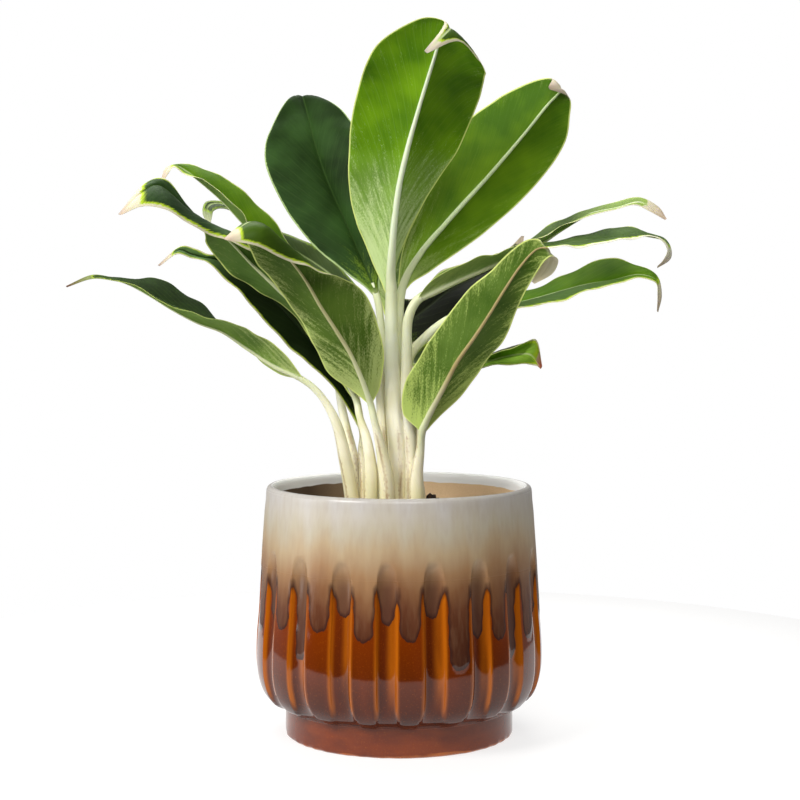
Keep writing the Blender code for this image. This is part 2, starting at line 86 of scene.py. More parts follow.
def smooth(low, high, values):
    # 0 below low, 1 above high, and an S between them
    t = np.clip((values - low) / (high - low), 0, 1)
    return t * t * (3 - 2 * t)


def through(points, steps):
    # a smooth curve through the points: each span is a cubic whose end slopes are half the way between the neighbours
    given = np.array(points, float)
    padded = np.vstack([2 * given[0] - given[1], given, 2 * given[-1] - given[-2]])
    spans = len(given) - 1
    place = np.linspace(0, spans, spans * steps + 1)
    span = np.minimum(place.astype(int), spans - 1)
    t = (place - span)[:, None]
    before, start, end, after = (padded[span + k] for k in range(4))
    return (start * (2 * t**3 - 3 * t**2 + 1) + (end - before) / 2 * (t**3 - 2 * t**2 + t)
            + end * (3 * t**2 - 2 * t**3) + (after - start) / 2 * (t**3 - t**2))


def patches(x, y, size, seed):
    # smooth random hills, 0 to 1, about one size across: a lattice of random heights, blended between its points
    heights = np.random.default_rng(seed).random((64, 64))
    u, v = np.asarray(x) / size + 1000, np.asarray(y) / size + 1000
    i, j = np.floor(u).astype(int), np.floor(v).astype(int)
    a, b = smooth(0, 1, u - i), smooth(0, 1, v - j)
    corner = [[heights[(i + p) % 64, (j + q) % 64] for q in (0, 1)] for p in (0, 1)]
    return ((corner[0][0] * (1 - a) + corner[1][0] * a) * (1 - b)
            + (corner[0][1] * (1 - a) + corner[1][1] * a) * b)


def addPiece(name, points, faces, material, values=None):
    # a mesh from arrays, with smooth faces and its values kept at the points for the material to read
    mesh = bpy.data.meshes.new(name)
    mesh.from_pydata(points.tolist(), [], faces)
    mesh.polygons.foreach_set("use_smooth", [True] * len(mesh.polygons))
    for label, numbers in (values or {}).items():
        flat = np.asarray(numbers, np.float32)
        kind, field = ("FLOAT", "value") if flat.ndim == 1 else ("FLOAT_VECTOR", "vector")
        mesh.attributes.new(label, kind, "POINT").data.foreach_set(field, flat.ravel())
    mesh.materials.append(material)
    mesh.update()
    piece = bpy.data.objects.new(name, mesh)
    bpy.context.scene.collection.objects.link(piece)
    return piece


def addRings(name, grid, material, values=None):
    # a closed body: each row of the grid is a ring, each ring joins the next, and a fan to its middle closes either end
    rows, count = grid.shape[:2]
    index = np.arange(rows * count).reshape(rows, count)
    beside = np.roll(index, -1, axis=1)
    quads = np.stack([index[:-1], index[1:], beside[1:], beside[:-1]], axis=-1).reshape(-1, 4).tolist()
    first, last = rows * count, rows * count + 1
    fans = [(first, int(a), int(b)) for a, b in zip(index[0], beside[0])]
    fans += [(last, int(b), int(a)) for a, b in zip(index[-1], beside[-1])]

    def closed(numbers):
        numbers = np.asarray(numbers, float)
        ends = [numbers[0].mean(axis=0, keepdims=True), numbers[-1].mean(axis=0, keepdims=True)]
        return np.concatenate([numbers.reshape(rows * count, *numbers.shape[2:]), *ends])

    kept = {label: closed(numbers) for label, numbers in (values or {}).items()}
    return addPiece(name, closed(grid), quads + fans, material, kept)


def dress(piece, slot, *nodes):
    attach(piece, "root")
    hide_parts(*nodes)


# Each leaf: its midrib from base to tip, and its two margins at the stations between, in
# millimetres. Left and right are as seen on the upper side with the tip up. The rolls say how far
# each half bulges, as a share of its width. The stalk is its route above the soil and its two radii.
leafShapes = {
    "crown": {
        "rib": [(-4, 0, 233), (-4, -6, 251), (-1, -17, 283), (4, -27, 307), (10, -36, 328),
            (17, -48, 350), (21, -56, 362), (25, -63, 365), (22, -69, 361), (13, -73, 352)],
        "left": [(-15, 2, 253), (-25, -2, 281), (-26, -12, 310), (-22, -24, 335), (-12, -42, 358),
            (9, -56, 370), (21, -62, 369), (21, -67, 364)],
        "right": [(-1, 2, 251), (13, -6, 282), (30, -14, 308), (40, -26, 331), (43, -44, 343),
            (43, -50, 345), (39, -58, 350), (29, -67, 358)],
        "foot": (-1.8, -5),
        "stalk": [(-1, -4, 152), (-3, -3, 178), (-4, -2, 210)],
        "radii": (4.9, 3.2),
    },
    "left_tall": {
        "rib": [(-12, 7, 233), (-20, 15, 253), (-30, 25, 275), (-40, 35, 298), (-47, 44, 319),
            (-51, 54, 334), (-54, 64, 344), (-54, 76, 340)],
        "left": [(-11, 12, 251), (-17, 16, 272), (-18, 24, 298), (-21, 32, 318), (-30, 44, 333),
            (-43, 56, 342)],
        "right": [(-28, 10, 245), (-46, 16, 260), (-62, 24, 281), (-73, 34, 306), (-70, 44, 325),
            (-61, 56, 342)],
        "foot": (-7, 8),
        "stalk": [(-6, 10, 150), (-6, 11, 183), (-9, 9, 212)],
        "radii": (2.9, 1.9),
    },
    "right_tall": {
        "rib": [(1.5, 6.5, 236), (11, 5, 255), (28, 5, 275), (47, 5, 296), (65, 3, 317), (77, 0, 332),
            (85, -4, 341), (78, -10, 341)],
        "left": [(3, 14, 261), (18, 18, 293), (34, 18, 323), (53, 14, 338), (70, 7, 346), (80, 0, 347)],
        "right": [(18, 11, 247), (46, 13, 267), (71, 13, 290), (87, 9, 312), (90, 3, 328), (89, -2, 337)],
        "foot": (0.5, 2),
        "stalk": [(0, 3, 151), (0, 4, 178), (0, 6.5, 210)],
        "radii": (3.0, 2.3),
    },
    "front_left": {
        "rib": [(-15, -13, 177), (-19, -18, 189), (-25, -24, 203), (-32, -30, 215), (-40, -37, 228),
            (-47, -45, 241), (-54, -54, 251), (-65, -64, 263), (-72, -73, 270), (-84, -86, 261)],
        "left": [(-25, -11, 184), (-37, -14, 193), (-44, -20, 208), (-53, -28, 224), (-62, -38, 238),
            (-70, -48, 248), (-75, -60, 259), (-77, -70, 268)],
        "right": [(-10, -11, 186), (-8, -14, 202), (-11, -20, 218), (-18, -28, 235), (-31, -42, 243),
            (-43, -62, 247), (-57, -74, 252), (-69, -82, 258)],
        "rollRight": (0.06, 0.06, 0.06, 0.06, 0.10, 0.22, 0.30, 0.30),
        "foot": (-6.5, -12),
        "stalk": [(-7, -12, 139), (-10, -12, 155), (-13, -13, 168)],
        "radii": (3.9, 1.8),
    },
    "hood": {
        "rib": [(-23, -3, 179), (-31, -9, 196), (-42, -14, 214), (-53, -20, 227), (-63, -25, 237),
            (-75, -30, 249), (-87, -36, 262), (-97, -44, 269.5), (-107, -53, 278), (-118, -62, 288),
            (-126, -71, 284), (-135, -83, 273)],
        "left": [(-36, -3, 195), (-48, -7, 213), (-60, -12, 228), (-74, -18, 236), (-88, -24, 246),
            (-98, -32, 259), (-99, -38, 266), (-107, -44, 279), (-115.5, -54, 291), (-125.5, -63, 289)],
        "right": [(-23, -3, 196), (-31, -7, 214), (-40, -12, 229), (-49, -16, 242), (-59, -23, 253),
            (-74, -46, 256), (-88, -56, 262), (-102, -66, 268), (-114, -74, 276), (-125, -78, 277)],
        "rollRight": (0.06, 0.06, 0.06, 0.06, 0.10, 0.22, 0.16, 0.10, 0.06, 0.06),
        "foot": (-15.2, -8.6),
        "stalk": [(-15, -8, 141), (-17, -7, 157), (-21, -5, 170)],
        "radii": (3.6, 1.8),
    },
    "left_arch": {
        "rib": [(-35, 24, 210), (-46, 22, 230), (-59, 22, 248), (-73, 18, 261), (-84, 16, 272),
            (-94, 14, 283), (-104, 11, 292), (-113, 10, 299), (-119, 8, 302), (-122.7, 4.5, 299.3),
            (-125, 0, 293)],
        "left": [(-39, 32, 229), (-51, 36, 248), (-62, 36, 264), (-75, 34, 281), (-88, 30, 292),
            (-101, 25, 300), (-111, 18, 303), (-118, 11, 303), (-123.8, 7, 300.6)],
        "right": [(-51, 10, 233), (-65, 6, 253), (-76, 2, 265), (-82, 0, 275), (-92, 0, 286),
            (-103, 2, 294), (-113, 5, 297), (-119, 5, 301), (-121.8, 3, 297.6)],
        "foot": (-21.7, 3.5),
        "stalk": [(-24, 7, 144), (-29, 14, 164), (-33, 22, 185)],
        "radii": (2.7, 1.7),
    },
    "left_reach": {
        "rib": [(-51, -3, 189), (-66, -3, 196), (-80, -3, 205), (-93, -5, 214), (-106, -7, 219),
            (-119, -9, 226), (-130, -11, 233), (-141, -11, 239), (-151, -9, 242), (-161, -12, 243),
            (-173, -16, 238)],
        "left": [(-65, 6, 192), (-80, 16, 203), (-93, 23, 214), (-105, 26, 226), (-118, 23, 236),
            (-130, 16, 242), (-140, 7, 242), (-151, -5, 243), (-161, -10, 244)],
        "right": [(-60, -12, 203), (-73, -17, 213), (-84, -21, 218), (-97, -23, 222), (-110, -23, 225),
            (-124, -21, 231), (-136, -16, 238), (-149, -12, 241), (-160, -14, 242)],
        "foot": (-25.4, -3),
        "stalk": [(-28, -3, 143), (-33, -3, 165), (-41, -3, 180)],
        "radii": (3.6, 1.8),
    },
    "left_dark": {
        "rib": [(-20, 8, 162), (-29, 14, 183), (-42, 18, 201), (-55, 20, 217), (-69, 21, 232),
            (-83, 20, 244), (-95, 15, 251), (-104, 9, 253), (-110, 4, 255), (-117, 0, 257),
            (-126, -7, 249)],
        "left": [(-23, 11, 185), (-33, 14, 204), (-45, 16, 221), (-59, 16, 235), (-73, 14, 248),
            (-87, 11, 256), (-100, 8, 255), (-108, 6, 258), (-116, 2, 259)],
        "right": [(-35, 8, 184), (-50, 8, 198), (-64, 8, 211), (-78, 8, 227), (-90, 6, 240),
            (-101, 4, 250), (-105, 2, 252), (-110, 0, 253), (-117, -3, 255)],
        "foot": (-18.6, -1.8),
        "stalk": [(-19, 0, 141), (-20, 4, 151)],
        "radii": (2.8, 1.8),
    },
    "left_back": {
        "rib": [(-17, 36, 227), (-30, 46, 238), (-46, 52, 250), (-61, 54, 259), (-74, 54, 266),
            (-83, 50, 275), (-93, 44.5, 281.5), (-99.5, 42, 283.5), (-104, 37, 282),
            (-104.5, 32, 277.5), (-102.7, 25, 272)],
        "left": [(-26, 50, 241), (-40, 56, 255), (-54, 58, 264), (-68, 58, 269), (-80, 54, 276),
            (-93, 46, 283), (-99.5, 44, 285), (-106, 39, 284), (-107, 33, 278)],
        "right": [(-34, 40, 236), (-50, 43, 246), (-66, 44, 255), (-78, 44, 262), (-84, 43, 272),
            (-92, 41, 279), (-97.5, 38, 280.5), (-101, 33.5, 279), (-101.5, 29.5, 276)],
        "foot": (-9.6, 1),
        "stalk": [(-9, 3, 151), (-10, 5, 183), (-12, 22, 209)],
        "radii": (2.7, 1.9),
    },
    "front_right": {
        "rib": [(12, -15, 162), (16, -20, 172), (23, -27, 186), (30, -34, 200), (38, -41, 212),
            (46, -48, 225), (53, -55, 237), (60, -62, 248), (67, -69, 256), (72, -74, 257),
            (74.5, -67, 253), (73, -61.5, 247), (66.8, -57, 240)],
        "left": [(2, -12, 172), (3, -14, 187), (11, -20, 202), (22, -28, 219), (34, -38, 235),
            (46, -48, 246), (56, -58, 256), (63, -66, 261), (69, -72, 261), (69.5, -67, 258),
            (69.5, -61, 248)],
        "right": [(21, -15, 170), (33, -20, 182), (43, -26, 197), (53, -34, 210), (58, -42, 222),
            (62, -51, 233), (67, -60, 243), (71, -69, 250), (74.5, -73, 253), (78.5, -66, 251),
            (76, -60.5, 244.5)],
        "foot": (9.0, -10.2),
        "stalk": [(9, -10, 139), (11, -12, 152)],
        "radii": (4.1, 2.1),
    },
    "right_thin": {
        "rib": [(9.5, 0, 231), (18, 0, 235), (31, -1, 241), (45, -2, 247), (60, 0, 254), (74, -1, 260),
            (86, -2, 268), (100, -6, 276), (114, -6, 279), (126, -8, 282), (134, -10, 277),
            (139, -12, 273)],
        "left": [(17, -8, 241), (31, -12, 249), (45, -14, 254), (58, -13, 258), (71, -12, 263),
            (85, -13, 269), (100, -11, 275), (112.5, -9.5, 278), (123, -9, 280.5), (131, -11, 277)],
        "right": [(21, 6, 245), (34, 9, 250), (48, 12, 254), (61, 14, 257.5), (76, 14, 267.5),
            (89, 11, 275), (102, 4, 279), (114, 0, 282.6), (126, -3, 284.8), (135.5, -6, 280)],
        "foot": (5.2, -4.2),
        "stalk": [(5, -4, 152), (4, -3, 180), (3.7, -2, 205), (4.6, -1, 221)],
        "radii": (4.2, 2.7),
    },
    "right_flat": {
        "rib": [(59, -16, 249), (72, -17, 257), (84, -15, 260), (98, -11, 262), (110, -9, 263),
            (122, -10, 265), (131, -12, 264), (138, -13, 262), (141, -15, 257), (139, -17, 252),
            (134, -18, 248)],
        "left": [(73, -24, 257), (84, -27, 258), (97, -26, 259), (110, -25, 261), (120, -22, 263),
            (130, -18, 264), (136, -17, 262), (139, -18, 257), (137, -19, 252)],
        "right": [(70, -11, 259), (83, -6, 262), (98, 3, 265), (111, 7, 269), (122, 3, 269),
            (131, -4, 266), (139, -8, 263), (142, -11, 257), (141, -14, 252)],
        "foot": (11.0, -1.6),
        "stalk": [(9, -2, 149), (16, -6, 181), (29, -12, 208), (45, -15, 231)],
        "radii": (2.7, 1.7),
    },
    "right_arch": {
        "rib": [(27, 8, 221), (43, 8, 225), (58, 7, 228), (74, 6, 232), (88, 5, 236), (100, 3, 239),
            (113, 0, 241), (126, -3, 244), (135, -6, 241), (136, -9, 233), (135, -13, 225)],
        "left": [(43, -2, 222), (58, -8, 226), (74, -12, 228), (88, -14, 232), (101, -14, 236),
            (114, -14, 240), (126, -13, 242), (134, -12, 240), (135, -12, 233)],
        "right": [(42, 16, 230), (58, 20, 234), (73, 22, 237), (88, 24, 243), (101, 22, 250),
            (114, 16, 253), (126, 8, 250), (136, 0, 244), (138, -6, 234)],
        "foot": (6.2, 3.2),
        "stalk": [(3, 6, 151), (3, 7, 178), (5, 7, 199), (14, 7, 211)],
        "radii": (3.0, 2.4),
    },
    "right_low": {
        "rib": [(5, 16, 195), (17, 13, 194), (31, 9, 194), (44, 6, 197), (54, 5, 200), (63, 1, 202),
            (69, -8, 202), (74, -19, 196)],
        "left": [(16, 4, 190), (30, -3, 191), (44, -9, 195), (54, -12, 198), (64, -14, 197),
            (71, -17, 197)],
        "right": [(13, 18, 208), (30, 11, 206), (45, 0, 201), (56, -4, 205), (66, -8, 208),
            (72, -12, 210)],
        "rollLeft": (0.0, 0.0, -0.05, -0.05, -0.05, 0.0),
        "rollRight": (0.0, -0.08, -0.18, -0.22, -0.2, -0.12),
        "foot": (6.5, 9),
        "stalk": [(5, 13, 150), (4, 16, 177)],
        "radii": (2.5, 1.6),
    },
    "right_back": {
        "rib": [(-1, 18, 206), (4, 26, 217), (15, 32, 226), (28, 38, 236), (42, 43, 243),
            (54, 48, 248), (64, 51, 257), (69, 58, 266)],
        "left": [(8, 20, 207), (21, 22, 212), (36, 25, 223), (49, 29, 233), (60, 34, 241), (67, 44, 254)],
        "right": [(0, 30, 229), (9, 36, 232), (23, 42, 246), (34, 47, 250), (48, 52, 251), (61, 54, 259)],
        "foot": (-0.8, 9),
        "stalk": [(-1, 10, 150), (-1, 13, 180)],
        "radii": (2.6, 1.7),
    },
    "back": {
        "rib": [(-6, 26, 221), (-6, 46, 243), (-5, 66, 264), (-4, 90, 280), (-2, 114, 290),
            (-2, 136, 289), (-2, 150, 280), (-1, 158, 266)],
        "left": [(-15, 44, 240), (-21, 62, 259), (-24, 84, 276), (-23, 108, 286), (-17, 130, 287),
            (-9, 146, 279)],
        "right": [(4, 44, 240), (12, 62, 259), (17, 84, 276), (16, 108, 285), (11, 130, 284),
            (5, 146, 278)],
        "foot": (-5, 14),
        "stalk": [(-5, 15, 150), (-6, 18, 182)],
        "radii": (2.6, 1.8),
    },
}


# ---- blades

blade = {
    "steps": 12,           # rows to each span of the midrib
    "half": 17,            # columns to each half of the blade
    "thick": 0.00045,
    "tipHalf": 0.0008,     # half width of the very tip
    "groove": 0.00030,     # the upper side dips this far over the midrib
    "veinEvery": 8.5,      # mm between side veins
    "ribPlaces": (0.0, 0.05, 0.2, 0.45, 0.7, 0.9, 1.0),     # shares of the length, for the next two, in base radii
    "ribWide": (1.0, 0.93, 0.74, 0.52, 0.38, 0.27, 0.09),
    "ribDeep": (1.0, 0.72, 0.42, 0.26, 0.18, 0.12, 0.04),
    "veinRise": 2.3, "veinCurve": 16.0,                     # side veins leave at a slant, then curve towards the tip
    "veinRelief": 0.00009,
    "puff": 0.00016,       # the skin swells this far between side veins
    "ruffleLength": 0.027,
}


def bladeCurves(shape, steps):
    # margins and midrib as smooth curves; the base starts as wide as the stalk and the tip ends almost at a point
    rib, left, right = (np.array(shape[name], float) * mm for name in ("rib", "left", "right"))
    before = np.array(shape["stalk"][-1], float) * mm
    baseWay, tipWay = unit(rib[1] - before), unit(rib[-1] - rib[-2])
    ends = []
    for row, way, reach in ((0, baseWay, shape["radii"][1] * mm), (-1, tipWay, blade["tipHalf"])):
        across = right[row] - left[row]
        ends.append(unit(across - way * np.dot(across, way)) * reach)
    left = np.vstack([before - ends[0], rib[0] - ends[0], left, rib[-1] - ends[1]])
    right = np.vstack([before + ends[0], rib[0] + ends[0], right, rib[-1] + ends[1]])
    rolls = []
    for side in ("rollLeft", "rollRight"):
        shares = shape.get(side, (0.06,) * (len(rib) - 2))
        rolls.append(through([(0.0,), *((s,) for s in shares), (0.0,)], steps)[:, 0])
    # the curves run on from the stalk's last span, which is left out, so that stalk and midrib meet without a bend
    left, rib, right = (through(curve, steps)[steps:] for curve in (left, np.vstack([before, rib]), right))
    return left, rib, right, rolls


def bladeSheet(shape):
    # each half runs straight from one curve to the next and bulges by its roll times 4u(1-u) across its width
    left, rib, right, rolls = bladeCurves(shape, blade["steps"])
    way = np.gradient(rib, axis=0)
    u = (1 - np.cos(np.pi * np.arange(blade["half"] + 1) / blade["half"])) / 2
    halves = []
    for start, end, roll in ((left, rib, rolls[0]), (rib, right, rolls[1])):
        across = end - start
        width = np.linalg.norm(across, axis=1)
        lift = (roll * width)[:, None] * 4 * u * (1 - u)
        halves.append(start[:, None] + across[:, None] * u[:, None]
                      + unit(np.cross(way, across))[:, None] * lift[..., None])
    return np.concatenate([halves[0], halves[1][:, 1:]], axis=1)


def sheetUp(sheet):
    # the upper side's direction: along the midrib crossed with left to right
    middle = sheet.shape[1] // 2
    along = np.gradient(sheet, axis=0)
    along[0] = sheet[1, middle] - sheet[0, middle]
    return unit(np.cross(along, np.gradient(sheet, axis=1)))


def addBlade(name, shape, look, seed):
    # the sheet is waved near its margins, then thickened: the midrib is a half round under it and a dip on top,
    # and side veins leave it at a slant and curve towards the tip
    sheet = bladeSheet(shape)
    rows, count = sheet.shape[:2]
    middle = count // 2
    steps = np.linalg.norm(np.diff(sheet, axis=1), axis=2)
    across = np.concatenate([np.zeros((rows, 1)), np.cumsum(steps, axis=1)], axis=1)
    fromRib = np.abs(across - across[:, middle:middle + 1])
    halfWide = np.where(np.arange(count) < middle, fromRib[:, :1], fromRib[:, -1:])
    fromMargin = halfWide - fromRib
    ribSteps = np.linalg.norm(np.diff(sheet[:, middle], axis=0), axis=1)
    along = np.concatenate([[0], np.cumsum(ribSteps)])[:, None] * np.ones((1, count))
    fromTip = along[-1] - along
    share = along / along[-1]

    up = sheetUp(sheet)
    waves = np.sin(2 * np.pi * along / blade["ruffleLength"] + 1.7 * seed) \
        + 0.6 * np.sin(2 * np.pi * along / (0.61 * blade["ruffleLength"]) + 2.9 * seed)
    waves *= np.where(np.arange(count) < middle, 1.0, -0.8)
    opened = smooth(0.08, 0.3, share) * smooth(0.0, 0.3, 1 - share)
    sheet = sheet + up * (look["ruffle"] * mm * waves * opened
                          * (fromRib / np.maximum(halfWide, 1e-5))**3 * smooth(0.004, 0.014, halfWide))[..., None]
    up = sheetUp(sheet)

    slant = (along - blade["veinRise"] * fromRib + blade["veinCurve"] * fromRib**2) / mm
    nearest = np.abs((slant / blade["veinEvery"] + 0.31 * seed) % 1.0 - 0.5) * 2
    vein = smooth(0.80, 1.0, nearest)
    body = smooth(0.0, 0.004, fromRib) * smooth(0.0, 0.004, fromMargin)
    baseRadius = shape["radii"][1] * mm
    ribHalf = np.interp(share, blade["ribPlaces"], np.array(blade["ribWide"])**look["ribThin"] * baseRadius)
    ribRound = np.sqrt(np.clip(1 - (fromRib / ribHalf)**2, 0, 1))
    ribDeep = np.interp(share, blade["ribPlaces"], np.array(blade["ribDeep"]) * baseRadius)
    neck = smooth(0.0, 0.012, along)
    thin = blade["thick"] / 2 * (0.45 + 0.55 * smooth(0, 0.002, fromMargin))
    puffed = blade["puff"] * (1 - nearest**2) * body
    topLift = thin + puffed - blade["veinRelief"] * vein * body \
        - blade["groove"] * np.exp(-(fromRib / 0.0011)**2) * neck + 0.8 * baseRadius * ribRound * (1 - neck)
    lowLift = -thin + puffed - blade["veinRelief"] * 0.8 * vein * body - ribDeep * ribRound
    top = sheet + up * topLift[..., None]
    low = sheet + up * lowLift[..., None]
    outward = unit(sheet[:, -1] - sheet[:, -2]), unit(sheet[:, 0] - sheet[:, 1])
    edges = [sheet[:, k] + way * 0.00012 for k, way in ((-1, outward[0]), (0, outward[1]))]
    ring = np.concatenate([top, edges[0][:, None], low[:, ::-1], edges[1][:, None]], axis=1)
    centre = sheet[:, middle, None]
    ring = centre + (ring - centre) * (0.80 + 0.20 * smooth(0.0, 0.0035, along[:, :1]))[..., None]   # starts inside the stalk

    def aroundRing(numbers):
        # the values of the sheet, carried round the ring
        return np.concatenate([numbers, numbers[:, -1:], numbers[:, ::-1], numbers[:, :1]], axis=1)

    under = np.zeros(ring.shape[:2])
    under[:, count + 1:-1] = 1
    under[:, [count, -1]] = 0.5
    side = np.where(np.arange(count) < middle, -1.0, 1.0) * fromRib / mm
    lying = np.stack([slant, side, np.full_like(slant, 37.0 * seed)], axis=-1)
    values = {
        "under": under,
        "fromRib": aroundRing(fromRib / mm),
        "ribShare": aroundRing(1 - fromRib / ribHalf),
        "fromMargin": aroundRing(fromMargin / mm),
        "fromTip": aroundRing(fromTip / mm),
        "fromBase": aroundRing(along / mm),
        "lying": aroundRing(lying),
    }
    return addRings("blade_" + name, ring, leafMaterial(name, look), values)


leafLook = {
    "upper": "#2b400c", "upperPale": "#415c12",
    "under": "#55722a", "underPale": "#6e8c3a",
    "band": "#abc42c", "cream": "#d3ccae", "bandWide": 1.3, "creamWide": 0.5, "creamTip": 9.0,
    "tipTint": "#b49f8c",
    "upperRib": "#b9c98c", "underRib": "#ccd3a4", "neck": "#d6dbb2", "underEdge": "#cbd77c",
    "upperTip": None, "halfTint": None, "tintSide": -1.0, "upperFleck": "#7f9c2c", "upperFleckReach": 30.0,
    "fleck": "#b9c87c", "fleckShare": 0.8, "fleckReach": 60.0, "fleckMore": 0.0, "fleckBase": 0.10, "fleckEdge": 0.07, "paleReach": 30.0, "paleShare": 0.15, "ragged": 0.8,
    "lines": "#8fa860", "lineShare": 0.12,
    "shine": 0.14, "tipDark": 0.05, "upperRough": 0.46, "underRough": 0.62, "ribThin": 1.0, "ruffle": 0.7,
    "glow": 0.12,
}
leafLooks = {
    "crown": {"under": "#446c04", "underPale": "#6c960c", "fleck": "#c3d496", "fleckReach": 95.0, "fleckMore": 0.0,
              "fleckBase": 0.17, "underRib": "#dfe9c8", "creamWide": 2.2, "bandWide": 1.2, "creamTip": 3.0,
              "tipTint": "#cdbfae", "tipDark": 0.12, "ruffle": 0.4, "fleckEdge": 0.03, "fleckShare": 0.75, "ribThin": 1.3, "paleReach": 80.0, "paleShare": 0.7},
    # left_tall is darker throughout, margin and neck too: its own dark green with painted shade, as it stands in shadow
    "left_tall": {"upper": "#1a2d0d", "upperPale": "#2f4b1e", "upperRib": "#2e461c", "upperRough": 0.56, "shine": 0.08,
                  "creamWide": 0.5, "bandWide": 0.4, "lineShare": 0.03, "upperFleckReach": 45.0, "cream": "#9fb27c", "band": "#5a7a34", "ragged": 0.2, "neck": "#8f9c62"},
    "right_tall": {"under": "#41660a", "underPale": "#688c14", "fleckShare": 0.5, "fleckMore": -0.01,
                   "underRib": "#cbdba8", "ruffle": 0.4, "lineShare": 0.05},
    "front_left": {"under": "#3a5510", "underPale": "#5a7428", "fleck": "#b4c276", "fleckMore": 0.035, "fleckEdge": 0.11,
                   "underRib": "#bdb886", "creamTip": 8.0, "bandWide": 1.2, "creamWide": 0.9, "ribThin": 1.15, "lineShare": 0.05, "fleckShare": 0.9, "ragged": 0.5},
    "front_right": {"under": "#39540f", "underPale": "#577028", "fleck": "#a9bb62", "fleckMore": 0.03, "fleckEdge": 0.11,
                    "underRib": "#a89666", "ribThin": 1.6, "creamTip": 26.0, "creamWide": 1.5, "tipTint": "#c9bd9c", "lineShare": 0.05, "fleckShare": 0.9, "ragged": 0.4},
    "hood": {"under": "#4c6c2a", "underPale": "#678440", "upper": "#22361a", "upperPale": "#385228", "upperRib": "#33491f",
             "creamTip": 15.0, "creamWide": 1.1, "bandWide": 1.8, "ribThin": 1.3, "shine": 0.08},
    "left_arch": {"upper": "#3a5f04", "upperPale": "#608608", "creamTip": 10.0},
    "left_reach": {"upper": "#1f2f10", "upperPale": "#31471e", "upperRib": "#4c6034", "under": "#54702e",
                   "creamWide": 0.4, "bandWide": 0.5, "cream": "#77804e", "creamTip": 13.0, "tipTint": "#4e2f26",
                   "upperRough": 0.65, "shine": 0.05},
    # left_dark's upper side is near black: its own dark green with painted shade, as it lies in shadow
    "left_dark": {"upper": "#151e0d", "upperPale": "#1e2b14", "upperTip": "#5b7a45", "upperRib": "#26321c",
                  "lineShare": 0.02, "under": "#6b8a3c", "underPale": "#8aa455", "bandWide": 0.9, "creamWide": 0.4,
                  "shine": 0.06, "ragged": 0.2},
    "left_back": {"upper": "#3d5028", "upperPale": "#5a6b40", "creamTip": 9.0, "cream": "#8f9a6e", "tipTint": "#a3a684", "band": "#8fa83c"},
    # right_arch: halfTint is painted shade on its down-facing half
    "right_arch": {"upper": "#3d620a", "upperPale": "#648a16", "upperRib": "#cdd9a4", "creamTip": 14.0, "shine": 0.05,
                   "upperRough": 0.6, "halfTint": "#4a6233"},
    "right_flat": {"upper": "#40562c", "upperPale": "#5c7440", "upperRib": "#c0cf9c", "creamWide": 1.4, "bandWide": 1.2,
                   "creamTip": 10.0, "shine": 0.05, "upperRough": 0.6, "cream": "#dedac4"},
    "right_thin": {"upper": "#3c4d28", "upperPale": "#56693c", "upperTip": "#7d9450", "upperRib": "#dfe5c0", "under": "#728e48",
                   "underPale": "#8ca45e", "bandWide": 2.2, "creamTip": 11.0, "shine": 0.05, "upperRough": 0.6, "band": "#8fa850", "fleckShare": 0.6, "fleckMore": 0.03, "ragged": 0.4},
    "right_low": {"upper": "#6f9a28", "upperPale": "#a4c850", "upperRib": "#c9d49c", "under": "#4b5046",
                  "underPale": "#5a5f54", "fleckShare": 0.1, "creamTip": 5.0, "bandWide": 2.6, "creamWide": 0.9,
                  "tipTint": "#a4503c", "halfTint": "#4d524a", "tintSide": 1.0},
    # right_back is near black on both sides, with its margin and neck dulled: painted shade over its green, as it
    # stands in shadow at the back
    "right_back": {"upper": "#15180f", "upperPale": "#20241a", "upperRib": "#3c4230", "band": "#4c5834", "under": "#1b1f16",
                   "underPale": "#272b21", "fleckShare": 0.12, "underRib": "#4a5238", "neck": "#8a9470", "cream": "#b5ad8c",
                   "upperRough": 0.6, "underRough": 0.7, "lineShare": 0.03, "shine": 0.08, "creamTip": 6.0},
    "back": {},
}


